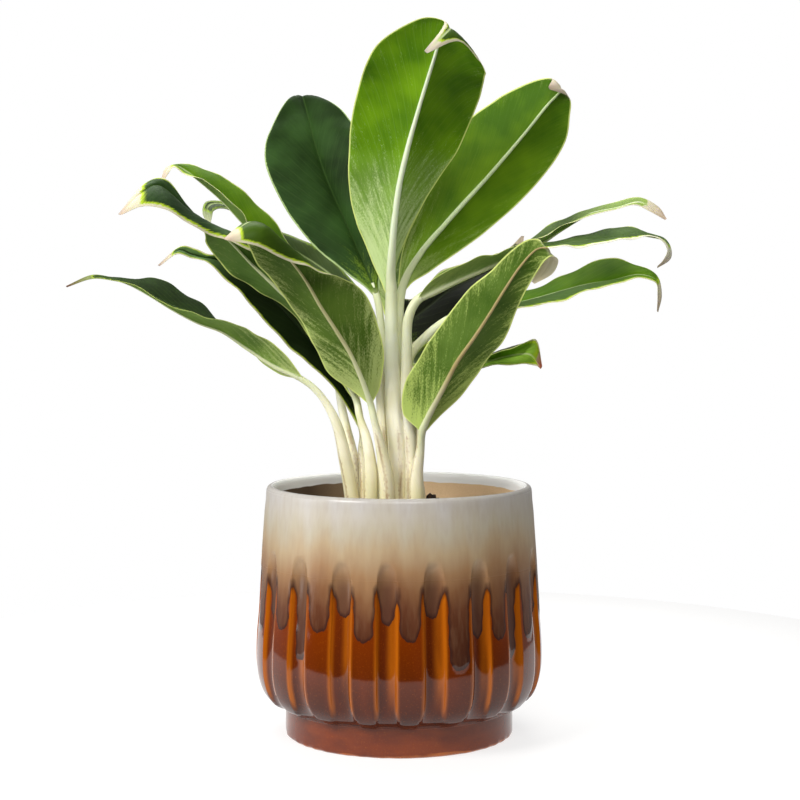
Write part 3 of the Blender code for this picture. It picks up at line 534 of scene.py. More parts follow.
# leaf, grown: upper side glossy and dark with a pale margin, underside matt and streaked; light comes through it
def leafMaterial(name, look):
    material, tree = startMaterial("leaf " + name)
    read = {label: addNode(tree, "Attribute", out="Vector" if label == "lying" else "Fac", attribute_name=label)
            for label in ("under", "fromRib", "ribShare", "fromMargin", "fromTip", "fromBase", "lying")}
    place = addNode(tree, "TexCoord", out="Object")

    # streaks run along the side veins, 1 mm apart and several mm long; clouds are 15 mm across
    streakAt = addNode(tree, "Mapping", {"Vector": read["lying"], "Scale": (0.7, 0.16, 1)})
    streaks = addNode(tree, "TexNoise", {"Vector": streakAt, "Scale": 1.0, "Detail": 3.0, "Roughness": 0.6})
    clouds = addNode(tree, "TexNoise", {"Vector": place, "Scale": 42.0, "Detail": 2.0})
    grains = addNode(tree, "TexNoise", {"Vector": place, "Scale": 900.0, "Detail": 1.0})
    # flecks are grains under half a millimetre, gathered in patches that trail along the veins
    fleckAt = addNode(tree, "Mapping", {"Vector": read["lying"], "Scale": (2.1, 1.5, 1)})
    fleckGrains = addNode(tree, "TexNoise", {"Vector": fleckAt, "Scale": 1.0, "Detail": 3.0, "Roughness": 0.7})
    patchAt = addNode(tree, "Mapping", {"Vector": read["lying"], "Scale": (0.24, 0.10, 1)})
    fleckPatches = addNode(tree, "TexNoise", {"Vector": patchAt, "Scale": 1.0, "Detail": 3.0, "Roughness": 0.6})
    fleckNoise = addNode(tree, "Mix", {0: 0.4, 2: fleckGrains, 3: fleckPatches}, data_type="FLOAT")

    tipDark = addNode(tree, "MapRange", {"Value": read["fromTip"], "From Min": 20.0, "From Max": 75.0,
                                         "To Min": look["tipDark"], "To Max": 0.0})
    shade = addNode(tree, "Math", {0: addNode(tree, "Mix", {0: 0.78, 2: streaks, 3: clouds}, data_type="FLOAT"), 1: tipDark},
                    operation="SUBTRACT")
    shade = addNode(tree, "MapRange", {"Value": shade, "From Min": 0.34, "From Max": 0.64})
    upper = addNode(tree, "Mix", {0: shade, 6: linear(look["upper"]), 7: linear(look["upperPale"])}, 2,
                    data_type="RGBA")
    under = addNode(tree, "Mix", {0: shade, 6: linear(look["under"]), 7: linear(look["underPale"])}, 2,
                    data_type="RGBA")

    # the base is washed with the fleck colour
    wash = addNode(tree, "MapRange", {"Value": read["fromBase"], "From Min": 0.2 * look["paleReach"],
                                      "From Max": look["paleReach"], "To Min": look["paleShare"], "To Max": 0.0})
    wash = addNode(tree, "Math", {0: wash, 1: addNode(tree, "MapRange", {"Value": fleckPatches, "From Min": 0.35,
                                                                         "From Max": 0.6, "To Min": 0.45})},
                   operation="MULTIPLY")
    under = addNode(tree, "Mix", {0: wash, 6: under, 7: linear(look["fleck"])}, 2, data_type="RGBA")

    # pale flecks, thickest by the stalk and thinning towards the tip
    reach = addNode(tree, "MapRange", {"Value": read["fromBase"], "From Min": 0.15 * look["fleckReach"],
                                       "From Max": look["fleckReach"], "To Min": look["fleckBase"], "To Max": -0.05})
    nearEdge = addNode(tree, "MapRange", {"Value": read["fromMargin"], "From Min": 0.5, "From Max": 10.0,
                                          "To Min": look["fleckEdge"], "To Max": 0.0})
    amount = addNode(tree, "Math", {0: reach, 1: nearEdge}, operation="ADD")
    amount = addNode(tree, "Math", {0: amount, 1: fleckNoise}, operation="ADD")
    flecks = addNode(tree, "MapRange", {"Value": amount, "From Min": 0.56 - look["fleckMore"],
                                        "From Max": 0.66 - look["fleckMore"], "To Max": look["fleckShare"]})
    under = addNode(tree, "Mix", {0: flecks, 6: under, 7: linear(look["fleck"])}, 2, data_type="RGBA")
    reach = addNode(tree, "MapRange", {"Value": read["fromBase"], "From Max": look["upperFleckReach"], "To Min": 0.10,
                                       "To Max": -0.15})
    flecks = addNode(tree, "Math", {0: reach, 1: fleckNoise}, operation="ADD")
    flecks = addNode(tree, "MapRange", {"Value": flecks, "From Min": 0.50, "From Max": 0.58, "To Max": 0.6})
    upper = addNode(tree, "Mix", {0: flecks, 6: upper, 7: linear(look["upperFleck"])}, 2, data_type="RGBA")

    # one half of some leaves is tinted: on right_arch it is painted shade on the half that faces down; on right_low
    # that half is grey like its underside
    half = addNode(tree, "Math", {0: addNode(tree, "SeparateXYZ", {"Vector": read["lying"]}, "Y"), 1: look["tintSide"]},
                   operation="MULTIPLY")
    half = addNode(tree, "MapRange", {"Value": half, "From Min": -0.4, "From Max": 0.4,
                                      "To Max": 0.85 if look["halfTint"] else 0.0})
    upper = addNode(tree, "Mix", {0: half, 6: upper, 7: linear(look["halfTint"] or look["upper"])}, 2, data_type="RGBA")

    # side veins are thin lines, lighter on both sides
    slant = addNode(tree, "SeparateXYZ", {"Vector": read["lying"]})
    vein = addNode(tree, "Math", {0: slant, 1: blade["veinEvery"] / 2}, operation="PINGPONG")
    vein = addNode(tree, "MapRange", {"Value": vein, "From Min": 0.05, "From Max": 0.55,
                                      "To Min": look["lineShare"], "To Max": 0.0})
    under = addNode(tree, "Mix", {0: vein, 6: under, 7: linear(look["lines"])}, 2, data_type="RGBA")
    upper = addNode(tree, "Mix", {0: vein, 6: upper, 7: linear(look["lines"])}, 2, data_type="RGBA")

    # the margin: green breaks up into a yellow band and ends in cream, which widens towards the tip
    tipEdge = addNode(tree, "MapRange", {"Value": read["fromTip"], "From Min": look["creamTip"],
                                         "From Max": look["creamTip"] + 16.0, "To Max": 7.0})
    edge = addNode(tree, "Math", {0: read["fromMargin"], 1: tipEdge}, operation="MINIMUM")
    ragged = addNode(tree, "MapRange", {"Value": streaks, "From Min": 0.3, "From Max": 0.7, "To Min": -look["ragged"], "To Max": look["ragged"]})
    calm = addNode(tree, "MapRange", {"Value": read["fromTip"], "From Min": 4.0, "From Max": 22.0})
    ragged = addNode(tree, "Math", {0: ragged, 1: calm}, operation="MULTIPLY")
    edge = addNode(tree, "Math", {0: edge, 1: ragged}, operation="ADD")
    inBand = addNode(tree, "MapRange", {"Value": edge, "From Min": look["creamWide"] + look["bandWide"],
                                        "From Max": look["creamWide"] + 0.45 * look["bandWide"]})
    inCream = addNode(tree, "MapRange", {"Value": edge, "From Min": look["creamWide"] + 0.4, "From Max": look["creamWide"] - 0.1})
    thinEdge = addNode(tree, "MapRange", {"Value": read["fromMargin"], "From Min": 0.75, "From Max": 0.45})
    tipPale = addNode(tree, "MapRange", {"Value": read["fromTip"], "From Min": look["creamTip"] + 3.0,
                                         "From Max": look["creamTip"] - 3.0})
    cream = addNode(tree, "Mix", {0: addNode(tree, "MapRange", {"Value": read["fromTip"], "From Min": 12.0,
                                                                "From Max": 1.0}),
                                  6: linear(look["cream"]), 7: linear(look["tipTint"])}, 2, data_type="RGBA")
    distal = addNode(tree, "MapRange", {"Value": read["fromTip"], "From Min": 55.0, "From Max": 30.0})
    upper = addNode(tree, "Mix", {0: distal, 6: upper, 7: addNode(tree, "Mix", {
        0: shade, 6: linear(look["upperTip"] or look["upper"]), 7: linear(look["upperTip"] or look["upperPale"])}, 2,
        data_type="RGBA")}, 2, data_type="RGBA")
    upper = addNode(tree, "Mix", {0: inBand, 6: upper, 7: linear(look["band"])}, 2, data_type="RGBA")
    upper = addNode(tree, "Mix", {0: inCream, 6: upper, 7: cream}, 2, data_type="RGBA")
    under = addNode(tree, "Mix", {0: thinEdge, 6: under, 7: linear(look["underEdge"])}, 2, data_type="RGBA")
    under = addNode(tree, "Mix", {0: tipPale, 6: under, 7: cream}, 2, data_type="RGBA")

    # the midrib is pale below, and a thin paler line above
    ribBelow = addNode(tree, "MapRange", {"Value": read["ribShare"], "From Min": -0.05, "From Max": 0.30})
    ribFar = addNode(tree, "MapRange", {"Value": read["fromBase"], "From Min": 4.0, "From Max": 40.0})
    ribColour = addNode(tree, "Mix", {0: ribFar, 6: linear(look["neck"]), 7: linear(look["underRib"])}, 2,
                        data_type="RGBA")
    under = addNode(tree, "Mix", {0: ribBelow, 6: under, 7: ribColour}, 2, data_type="RGBA")
    ribAbove = addNode(tree, "MapRange", {"Value": read["fromRib"], "From Min": 0.95, "From Max": 0.45, "To Max": 0.85})
    ribAbove = addNode(tree, "Math", {0: ribAbove, 1: addNode(tree, "MapRange", {
        "Value": read["fromTip"], "From Min": look["creamTip"], "From Max": look["creamTip"] + 9.0})}, operation="MULTIPLY")
    upper = addNode(tree, "Mix", {0: ribAbove, 6: upper, 7: linear(look["upperRib"])}, 2, data_type="RGBA")
    neck = addNode(tree, "MapRange", {"Value": read["fromBase"], "From Min": 5.0, "From Max": 1.0})
    upper = addNode(tree, "Mix", {0: neck, 6: upper, 7: linear(look["neck"])}, 2, data_type="RGBA")

    isUnder = addNode(tree, "MapRange", {"Value": read["under"], "From Min": 0.2, "From Max": 0.6})
    colour = addNode(tree, "Mix", {0: isUnder, 6: upper, 7: under}, 2, data_type="RGBA")
    rough = addNode(tree, "MapRange", {"Value": isUnder, "To Min": look["upperRough"], "To Max": look["underRough"]})
    bump = addNode(tree, "Bump", {"Height": grains, "Strength": 0.3, "Distance": 0.00015})
    finishMaterial(tree, {"Base Color": colour, "Roughness": rough, "Normal": bump, "IOR": 1.42,
                          "Specular IOR Level": look["shine"], "Subsurface Weight": look["glow"], "Subsurface Radius": (0.8, 1.0, 0.25),
                          "Subsurface Scale": 0.0012})
    return material


# ---- stalks

stalk = {
    "sides": 28,
    "steps": 9,            # rows to each span of the route
    "footHeight": 0.110,
    "broad": 1.12,         # the sheathed foot is this much broader than the stalk
    "upright": (0.1225, 0.1270),
    "into": 3,             # rows that run on inside the midrib
    "sheathTop": 0.062,    # the rolled sheath ends this far above the soil
    "sheathStep": 0.20,    # its free edge stands out by this share of the radius
    "channel": 0.22,       # the upper side is hollowed by this share near the blade
}


def addStalk(name, shape, material, seed):
    # a round section carried up a smooth route; its free sheath edge is a step that runs up it,
    # and near the blade its upper half flattens to the blade's base and takes a shallow channel
    x, y = (value * mm for value in shape["foot"])
    rib = np.array(shape["rib"], float) * mm
    route = [(x, y, height) for height in (stalk["footHeight"], *stalk["upright"])]
    route += [tuple(value * mm for value in point) for point in shape["stalk"]]
    joint = len(route) * stalk["steps"]
    path = through([*route, *map(tuple, rib[:3])], stalk["steps"])[:joint + stalk["into"] + 1]
    along = np.concatenate([[0], np.cumsum(np.linalg.norm(np.diff(path, axis=0), axis=1))])
    fromEnd = np.clip(along[joint] - along, 0, None)
    radius = np.interp(along / along[joint], (0.0, 0.45, 0.82, 1.0),
                       (shape["radii"][0] * stalk["broad"], shape["radii"][0], shape["radii"][1] * 1.08,
                        shape["radii"][1])) * mm
    radius *= np.interp(along - along[joint], (0.0, 0.0025, 0.008), (1.0, 0.93, 0.55))     # it tapers inside the midrib
    tangent = unit(np.gradient(path, axis=0))
    base = np.array(shape["right"][0], float) - np.array(shape["left"][0], float)
    bladeUp = unit(np.cross(tangent[joint], base))
    side = unit(np.cross(tangent, bladeUp))
    up = np.cross(side, tangent)
    turn = 2 * np.pi * np.arange(stalk["sides"]) / stalk["sides"]
    turn, near = turn[None, :], smooth(0.018, 0.0, fromEnd)[:, None]
    facing = math.radians(-90 + 50 * math.sin(2.3 * seed))      # the free edge lies on the side that is seen
    facing = np.array([math.cos(facing), math.sin(facing), 0.0])
    free = math.atan2(facing @ up[9], facing @ side[9]) + 9 * along[:, None]
    rolled = ((turn - free) / (2 * np.pi)) % 1.0
    sheath = smooth(stalk["sheathTop"], 0.6 * stalk["sheathTop"], along - 0.012)[:, None]
    reach = 1 + stalk["sheathStep"] * sheath * (rolled - 0.5) + 0.012 * np.cos(7 * turn + seed)
    groove = stalk["channel"] * np.exp(-((turn - np.pi / 2) / 0.5)**2) * smooth(0.07, 0.02, fromEnd)[:, None] * (1 - near)
    flat = np.where(np.sin(turn) > 0, 1 - 0.2 * near, 1.0)
    out = radius[:, None] * (reach * (1 - near) + near) * (1 - groove)
    ring = path[:, None] + side[:, None] * (out * np.cos(turn))[..., None] \
        + up[:, None] * (out * flat * np.sin(turn))[..., None]
    edge = np.minimum(rolled, 1 - rolled) * 2 * np.pi * radius[:, None] / mm
    values = {
        "fromEnd": np.repeat(fromEnd[:, None] / mm, stalk["sides"], axis=1),
        "fromFoot": np.repeat(along[:, None] / mm, stalk["sides"], axis=1),
        "freeEdge": edge + 6 * (1 - sheath),
        "lying": np.stack([rolled * 2 * np.pi * radius[:, None] / mm, np.repeat(along[:, None] / mm, stalk["sides"], axis=1),
                           np.full_like(rolled, 19.0 * seed)], axis=-1),
    }
    return addRings(name, ring[:, ::-1], material, {k: v[:, ::-1] for k, v in values.items()})


# petiole, grown: smooth pale skin with fine lengthwise ribs, cream low down and greener by the blade
def stalkMaterial():
    material, tree = startMaterial("petiole")
    fromEnd, fromFoot, freeEdge = (addNode(tree, "Attribute", out="Fac", attribute_name=label)
                                   for label in ("fromEnd", "fromFoot", "freeEdge"))
    lying = addNode(tree, "Attribute", out="Vector", attribute_name="lying")
    place = addNode(tree, "TexCoord", out="Object")
    clouds = addNode(tree, "TexNoise", {"Vector": place, "Scale": 45.0, "Detail": 2.0})
    colour = addNode(tree, "ValToRGB", {"Fac": addNode(tree, "MapRange", {"Value": fromFoot, "From Min": 5.0, "From Max": 105.0})},
                     ramp=((0.0, "#ddd0a4"), (0.25, "#ece5c8"), (0.6, "#efebd4"), (1.0, "#e2e6c6")))
    tint = addNode(tree, "MapRange", {"Value": clouds, "From Min": 0.45, "From Max": 0.68, "To Max": 0.5})
    colour = addNode(tree, "Mix", {0: tint, 6: colour, 7: linear("#cfc78c")}, 2, data_type="RGBA")
    green = addNode(tree, "MapRange", {"Value": fromEnd, "From Min": 16.0, "From Max": 1.0})
    colour = addNode(tree, "Mix", {0: green, 6: colour, 7: linear(leafLook["neck"])}, 2, data_type="RGBA")
    ribAt = addNode(tree, "Mapping", {"Vector": lying, "Scale": (2.2, 0.03, 1)})
    ribs = addNode(tree, "TexNoise", {"Vector": ribAt, "Scale": 1.0, "Detail": 3.0})
    ribTint = addNode(tree, "MapRange", {"Value": ribs, "From Min": 0.5, "From Max": 0.75, "To Max": 0.35})
    colour = addNode(tree, "Mix", {0: ribTint, 6: colour, 7: linear("#c9cc98")}, 2, data_type="RGBA")
    # rusty flecks gather along the sheath's free edge and low down
    fleckAt = addNode(tree, "Mapping", {"Vector": lying, "Scale": (1.5, 0.55, 1)})
    flecks = addNode(tree, "TexNoise", {"Vector": fleckAt, "Scale": 1.0, "Detail": 5.0, "Roughness": 0.75})
    close = addNode(tree, "MapRange", {"Value": freeEdge, "From Min": 0.1, "From Max": 3.0, "To Min": 0.20, "To Max": 0.0})
    low = addNode(tree, "MapRange", {"Value": fromFoot, "From Min": 8.0, "From Max": 36.0, "To Min": 0.03, "To Max": 0.0})
    rust = addNode(tree, "Math", {0: addNode(tree, "Math", {0: flecks, 1: close}, operation="ADD"), 1: low}, operation="ADD")
    rust = addNode(tree, "MapRange", {"Value": rust, "From Min": 0.68, "From Max": 0.78, "To Max": 0.7})
    colour = addNode(tree, "Mix", {0: rust, 6: colour, 7: linear("#94613a")}, 2, data_type="RGBA")
    stain = addNode(tree, "MapRange", {"Value": freeEdge, "From Min": 1.1, "From Max": 0.0, "To Max": 0.7})
    stain = addNode(tree, "Math", {0: stain, 1: addNode(tree, "MapRange", {"Value": clouds, "From Min": 0.4, "From Max": 0.6,
                                                                           "To Min": 0.15})}, operation="MULTIPLY")
    colour = addNode(tree, "Mix", {0: stain, 6: colour, 7: linear("#8f6a40")}, 2, data_type="RGBA")
    bump = addNode(tree, "Bump", {"Height": ribs, "Strength": 0.3, "Distance": 0.0002})
    finishMaterial(tree, {"Base Color": colour, "Roughness": 0.42, "Normal": bump, "IOR": 1.45,
                          "Subsurface Weight": 0.25, "Subsurface Radius": (1.0, 0.9, 0.45), "Subsurface Scale": 0.003})
    return material


petiole = stalkMaterial()
for seed, (name, shape) in enumerate(leafShapes.items(), 1):
    look = {**leafLook, **leafLooks[name]}
    dress(addBlade(name, shape, look, seed), "leaf", "leaf_" + name)
    dress(addStalk("petiole_" + name, shape, petiole, seed), "stalk", "stalk_" + name)
print("leaves and stalks made:", len(leafShapes))


# ---- pot

pot = {
    "radius": 0.0762, "height": 0.133,
    "flutes": 18, "turn": -4.3, "halfShare": 0.215,      # a flute's half width, as a share of the period
    "depth": 0.0028, "top": 0.1010, "arch": 0.011,
    "panelFoot": 0.0162, "panelRound": 0.012,            # the panels end in a U over the foot
    "glazeThick": 0.00035,
    "part": 0.0918, "fall": 0.021,                       # where the run glaze parts, and how fast it narrows
    "fluteRun": (0.245, 0.078), "panelRun": (0.268, 0.036),   # half widths where it parts, and what they lose
    "tipRound": 0.0068,
}
# a hand-made pot: degrees that each flute stands off its even place
fluteDrift = (-0.5, -2.1, -2.0, -4.0, -3.0, -1.0, 0.5, 1.5, 0.5, -1.0, 0.5, 2.0, 1.0, -0.5, 0.0, 1.0, 0.7, 1.6)
# how low each run of glaze reaches, in mm above the table, round the pot, and how far it leans, as a share of the period
fluteTips = (70, 73, 62, 49, 66, 72, 58, 69, 63, 71, 52, 66, 60, 70, 64, 66, 49, 73)
fluteLean = (0.016, -0.030, -0.035, -0.02, 0.02, -0.02, 0.03, 0.0, -0.03, 0.02, 0.03, -0.01, 0.02, -0.03, 0.0, 0.02, 0.034, 0.03)
panelTips = (62, 47, 60, 57, 64, 50, 61, 47, 63, 57, 52, 60, 49, 63, 58, 63, 65, 61.5)
panelLean = (-0.012, 0.0, -0.015, 0.01, 0.02, -0.01, 0.02, 0.0, -0.02, 0.01, -0.02, 0.01, 0.02, -0.01, 0.0, 0.01, 0.02, 0.008)
potFoot = [(0.050, 0.0012), (0.0535, 0.0002), (0.0580, 0.0), (0.0597, 0.0006), (0.0606, 0.0022), (0.0607, 0.0080),
           (0.0607, 0.0140), (0.0611, 0.0154), (0.0637, 0.0163)]
potWall = [(0.0668, 0.0180), (0.0696, 0.0202), (0.0731, 0.0252), (0.0754, 0.0328), (0.0762, 0.0410), (0.0759, 0.053),
           (0.0746, 0.068), (0.0737, 0.082), (0.0728, 0.096), (0.0718, 0.110), (0.0708, 0.124)]
potLip = [(0.0705, 0.1295), (0.0701, 0.1316), (0.0691, 0.1327), (0.0677, 0.133), (0.0667, 0.1323), (0.0661, 0.1306),
          (0.0660, 0.1275)]
potInside = [(0.0660, 0.1200), (0.0660, 0.080), (0.0660, 0.034), (0.0625, 0.022), (0.0540, 0.0125), (0.0490, 0.009),
             (0.020, 0.009)]


def potSurface():
    # the profile turned about Z; each flute presses in by depth times (1 - u^2 - v^2)^0.5, where u is the place across
    # it and v how far into its arch; below, the flutes widen until each panel ends in a U
    profile = through(potFoot + potWall + potLip + potInside, 8)
    outer = np.arange(len(profile)) <= int(np.argmax(profile[:, 1]))
    fluteU = -np.cos(np.pi * np.arange(15) / 14)
    panelU = np.linspace(0, 1, 13)[1:-1]
    share = pot["halfShare"]
    places = np.concatenate([share * fluteU, share + (1 - 2 * share) * panelU])
    turns = (np.arange(pot["flutes"])[:, None] + places[None, :]).ravel()
    place = (turns + 0.5) % 1.0 - 0.5
    number = np.floor(turns + 0.5).astype(int) % pot["flutes"]
    onPanel = np.floor(turns).astype(int) % pot["flutes"]
    angle = turns * 2 * np.pi / pot["flutes"]
    drift = np.interp(turns, np.arange(-1, pot["flutes"] + 1), (fluteDrift[-1], *fluteDrift, fluteDrift[0]))
    bearing = (angle + np.radians(pot["turn"] + drift) - np.pi / 2)[None, :]
    r, z = profile[:, :1], profile[:, 1:]
    a = np.abs(place)[None, :]

    intoFoot = np.clip((pot["panelFoot"] + pot["panelRound"] - z) / pot["panelRound"], 0, 0.999)
    half = 0.5 - (0.5 - share) * np.sqrt(1 - intoFoot**2)
    above = np.clip((z - (pot["top"] - pot["arch"])) / pot["arch"], 0, None)
    inside = np.clip(1 - (a / half)**2 - above**2, 0, None)
    below = smooth(0.0152, 0.0170, z)
    pressed = pot["depth"] * below * inside**0.5 * outer[:, None]

    # each run of glaze is a narrowing strip that ends in a half ellipse; run is the distance inside its edge, in mm
    period = 2 * np.pi * r / pot["flutes"] / mm
    height = z / mm
    narrow = np.clip((pot["part"] / mm - height) / (pot["fall"] / mm), 0, None)
    parted = 1 - np.exp(-(narrow / 0.42)**2)
    run = np.full((len(profile), len(turns)), -20.0)
    for tips, leans, owner, offset, (wide, loses) in (
            (fluteTips, fluteLean, number, place, pot["fluteRun"]),
            (panelTips, panelLean, onPanel, turns % 1.0 - 0.5, pot["panelRun"])):
        tip = np.array(tips, float)[owner][None, :]
        lean = np.array(leans)[owner][None, :] * parted
        apart = np.abs(offset[None, :] - lean) * period
        width = period * (wide - loses * parted - 0.014 * narrow) + 0.25 * parted * np.sin(height * 0.55 + 5 * owner)
        centre = tip + pot["tipRound"] / mm
        low = np.clip((centre - height) / (pot["tipRound"] / mm), 0, None)
        inEllipse = width * (1 - np.sqrt((apart / width)**2 + low**2))
        run = np.maximum(run, np.where(height > centre, width - apart, inEllipse))
    run = np.clip(run + 8 * smooth(pot["part"] - 0.003, pot["part"] + 0.006, z), -8, 8)
    thick = pot["glazeThick"] * smooth(-0.3, 1.3, run) * smooth(0.030, 0.045, z) * smooth(0.128, 0.118, z)
    wobble = 0.00018 * (patches(angle[None, :] * 0.07, z, 0.022, 5) - 0.5) * outer[:, None] * smooth(0.016, 0.03, z)
    ragged = 0.0006 * (patches(angle * 0.06, 0 * angle, 0.004, 8) - 0.5)[None, :] * smooth(0.004, 0.0, z) * outer[:, None]
    reach = r - pressed + (thick + wobble) * outer[:, None] + ragged
    grid = np.stack([reach * np.cos(bearing), reach * np.sin(bearing), z + 0 * bearing], axis=-1)
    edge = np.exp(-((a - half) * period / 1.1)**2) * (above < 1) * smooth(0.018, 0.03, z)
    return grid, {
        "run": run,
        "edge": edge,
        "hollow": np.clip(inside, 0, 1) * below,
        # sunny: painted light, a lighter band on one wall of each flute
        "sunny": smooth(-0.25, 0.45, place / share) * smooth(1.05, 0.80, place / share) * smooth(0.022, 0.050, z) * (above < 1),
        "outside": outer[:, None] + 0 * run,
    }


# reactive stoneware glaze, dipped twice and fired: matt grey-white on the lip melts to tan and runs in tongues
# over a clear amber glaze, which is thin and bright on the edges and dark where it pools
def glazeMaterial():
    material, tree = startMaterial("reactive stoneware glaze")
    run, edge, hollow, sunny, outside = (addNode(tree, "Attribute", out="Fac", attribute_name=label)
                                         for label in ("run", "edge", "hollow", "sunny", "outside"))
    place = addNode(tree, "TexCoord", out="Object")
    height = addNode(tree, "SeparateXYZ", {"Vector": place}, "Z")
    stretched = addNode(tree, "Mapping", {"Vector": place, "Scale": (1, 1, 0.22)})
    flow = addNode(tree, "TexNoise", {"Vector": stretched, "Scale": 70.0, "Detail": 3.0})
    fine = addNode(tree, "TexNoise", {"Vector": stretched, "Scale": 420.0, "Detail": 2.0})
    grain = addNode(tree, "TexNoise", {"Vector": place, "Scale": 1500.0, "Detail": 1.0})

    drift = addNode(tree, "MapRange", {"Value": flow, "From Min": 0.3, "From Max": 0.7, "To Min": -0.006, "To Max": 0.006})
    level = addNode(tree, "Math", {0: height, 1: drift}, operation="ADD")
    level = addNode(tree, "MapRange", {"Value": level, "From Min": 0.045, "From Max": 0.133})
    upper = addNode(tree, "ValToRGB", {"Fac": level},
                    ramp=((0.0, "#3a1f16"), (0.20, "#4a2819"), (0.34, "#5d3724"), (0.46, "#785236"), (0.57, "#94714f"),
                          (0.70, "#aa9474"), (0.82, "#b0a691"), (1.0, "#b7b2ac")))
    streak = addNode(tree, "MapRange", {"Value": fine, "From Min": 0.42, "From Max": 0.75, "To Max": 0.16})
    upper = addNode(tree, "Mix", {0: streak, 6: upper, 7: linear("#8a6a50")}, 2, data_type="RGBA")

    # the amber pools brown in the flutes and is thin and bright on their edges; one wall of each flute gets painted
    # light
    lowLevel = addNode(tree, "MapRange", {"Value": height, "From Min": 0.0, "From Max": 0.095})
    amber = addNode(tree, "ValToRGB", {"Fac": lowLevel},
                    ramp=((0.0, "#64280f"), (0.15, "#54220d"), (0.20, "#361206"), (0.40, "#4c1d04"), (0.7, "#6c2901"),
                          (1.0, "#803802")))
    pooled = addNode(tree, "MapRange", {"Value": hollow, "From Min": 0.2, "From Max": 0.9, "To Max": 0.55})
    amber = addNode(tree, "Mix", {0: pooled, 6: amber, 7: linear("#3a1508")}, 2, data_type="RGBA")
    # painted light: one wall of each flute is mixed towards bright amber, as if lit by the lamp
    sunny = addNode(tree, "Math", {0: sunny, 1: addNode(tree, "MapRange", {"Value": flow, "From Min": 0.35, "From Max": 0.6,
                                                                           "To Min": 0.15, "To Max": 0.9})},
                    operation="MULTIPLY")
    amber = addNode(tree, "Mix", {0: sunny, 6: amber, 7: linear("#ad5c08")}, 2, data_type="RGBA")
    thinned = addNode(tree, "MapRange", {"Value": edge, "From Min": 0.1, "From Max": 0.95, "To Max": 0.8})
    amber = addNode(tree, "Mix", {0: thinned, 6: amber, 7: linear("#b4600c")}, 2, data_type="RGBA")
    # the foot is dragged round: streaks run along it, and the glaze breaks orange where it was wiped
    dragged = addNode(tree, "Mapping", {"Vector": place, "Scale": (0.6, 0.6, 1.6)})
    wiped = addNode(tree, "TexNoise", {"Vector": dragged, "Scale": 80.0, "Detail": 2.0})
    onFoot = addNode(tree, "MapRange", {"Value": height, "From Min": 0.0165, "From Max": 0.0150})
    brown = addNode(tree, "Math", {0: onFoot, 1: addNode(tree, "MapRange", {"Value": wiped, "From Min": 0.40, "From Max": 0.65,
                                                                            "To Max": 0.5})}, operation="MULTIPLY")
    amber = addNode(tree, "Mix", {0: brown, 6: amber, 7: linear("#803608")}, 2, data_type="RGBA")
    lowest = addNode(tree, "Math", {0: height, 1: addNode(tree, "MapRange", {"Value": wiped, "From Min": 0.3, "From Max": 0.7,
                                                                             "To Max": 0.0022})}, operation="SUBTRACT")
    lowest = addNode(tree, "MapRange", {"Value": lowest, "From Min": 0.0006, "From Max": 0.0, "To Max": 0.8})
    amber = addNode(tree, "Mix", {0: lowest, 6: amber, 7: linear("#b0622a")}, 2, data_type="RGBA")
    mottle = addNode(tree, "MapRange", {"Value": flow, "From Min": 0.35, "From Max": 0.7, "To Max": 0.45})
    amber = addNode(tree, "Mix", {0: mottle, 6: amber, 7: linear("#6b2a0b")}, 2, data_type="RGBA")
    speck = addNode(tree, "MapRange", {"Value": grain, "From Min": 0.62, "From Max": 0.74, "To Max": 0.2})
    amber = addNode(tree, "Mix", {0: speck, 6: amber, 7: linear("#b05a10")}, 2, data_type="RGBA")

    # the tongue's rim is a dark line, and its front edge is broken by the flow
    wander = addNode(tree, "MapRange", {"Value": fine, "From Min": 0.3, "From Max": 0.7, "To Min": -0.45, "To Max": 0.45})
    inside = addNode(tree, "Math", {0: run, 1: wander}, operation="ADD")
    covered = addNode(tree, "MapRange", {"Value": inside, "From Min": -0.12, "From Max": 0.12})
    # inside each flute, below its arch, the tan glaze is darkened: painted shade under the arch, together with glaze
    # pooled there
    fluteShadeAndPool = addNode(tree, "Math", {0: hollow, 1: addNode(tree, "MapRange", {"Value": height, "From Min": 0.100,
                                                                                "From Max": 0.088, "To Max": 0.65})},
                        operation="MULTIPLY")
    upper = addNode(tree, "Mix", {0: fluteShadeAndPool, 6: upper, 7: linear("#4a3027")}, 2, data_type="RGBA")
    rim = addNode(tree, "MapRange", {"Value": inside, "From Min": 1.7, "From Max": 0.1, "To Max": 0.85})
    forked = addNode(tree, "Math", {0: addNode(tree, "MapRange", {"Value": height, "From Min": 0.076, "From Max": 0.086}),
                                    1: addNode(tree, "MapRange", {"Value": inside, "From Min": -0.9, "From Max": 0.3})},
                     operation="MULTIPLY")
    amber = addNode(tree, "Mix", {0: forked, 6: amber, 7: linear("#30150c")}, 2, data_type="RGBA")
    rimLow = addNode(tree, "MapRange", {"Value": height, "From Min": 0.097, "From Max": 0.086})
    rim = addNode(tree, "Math", {0: rim, 1: rimLow}, operation="MULTIPLY")
    upper = addNode(tree, "Mix", {0: rim, 6: upper, 7: linear("#2f1a18")}, 2, data_type="RGBA")
    colour = addNode(tree, "Mix", {0: covered, 6: amber, 7: upper}, 2, data_type="RGBA")

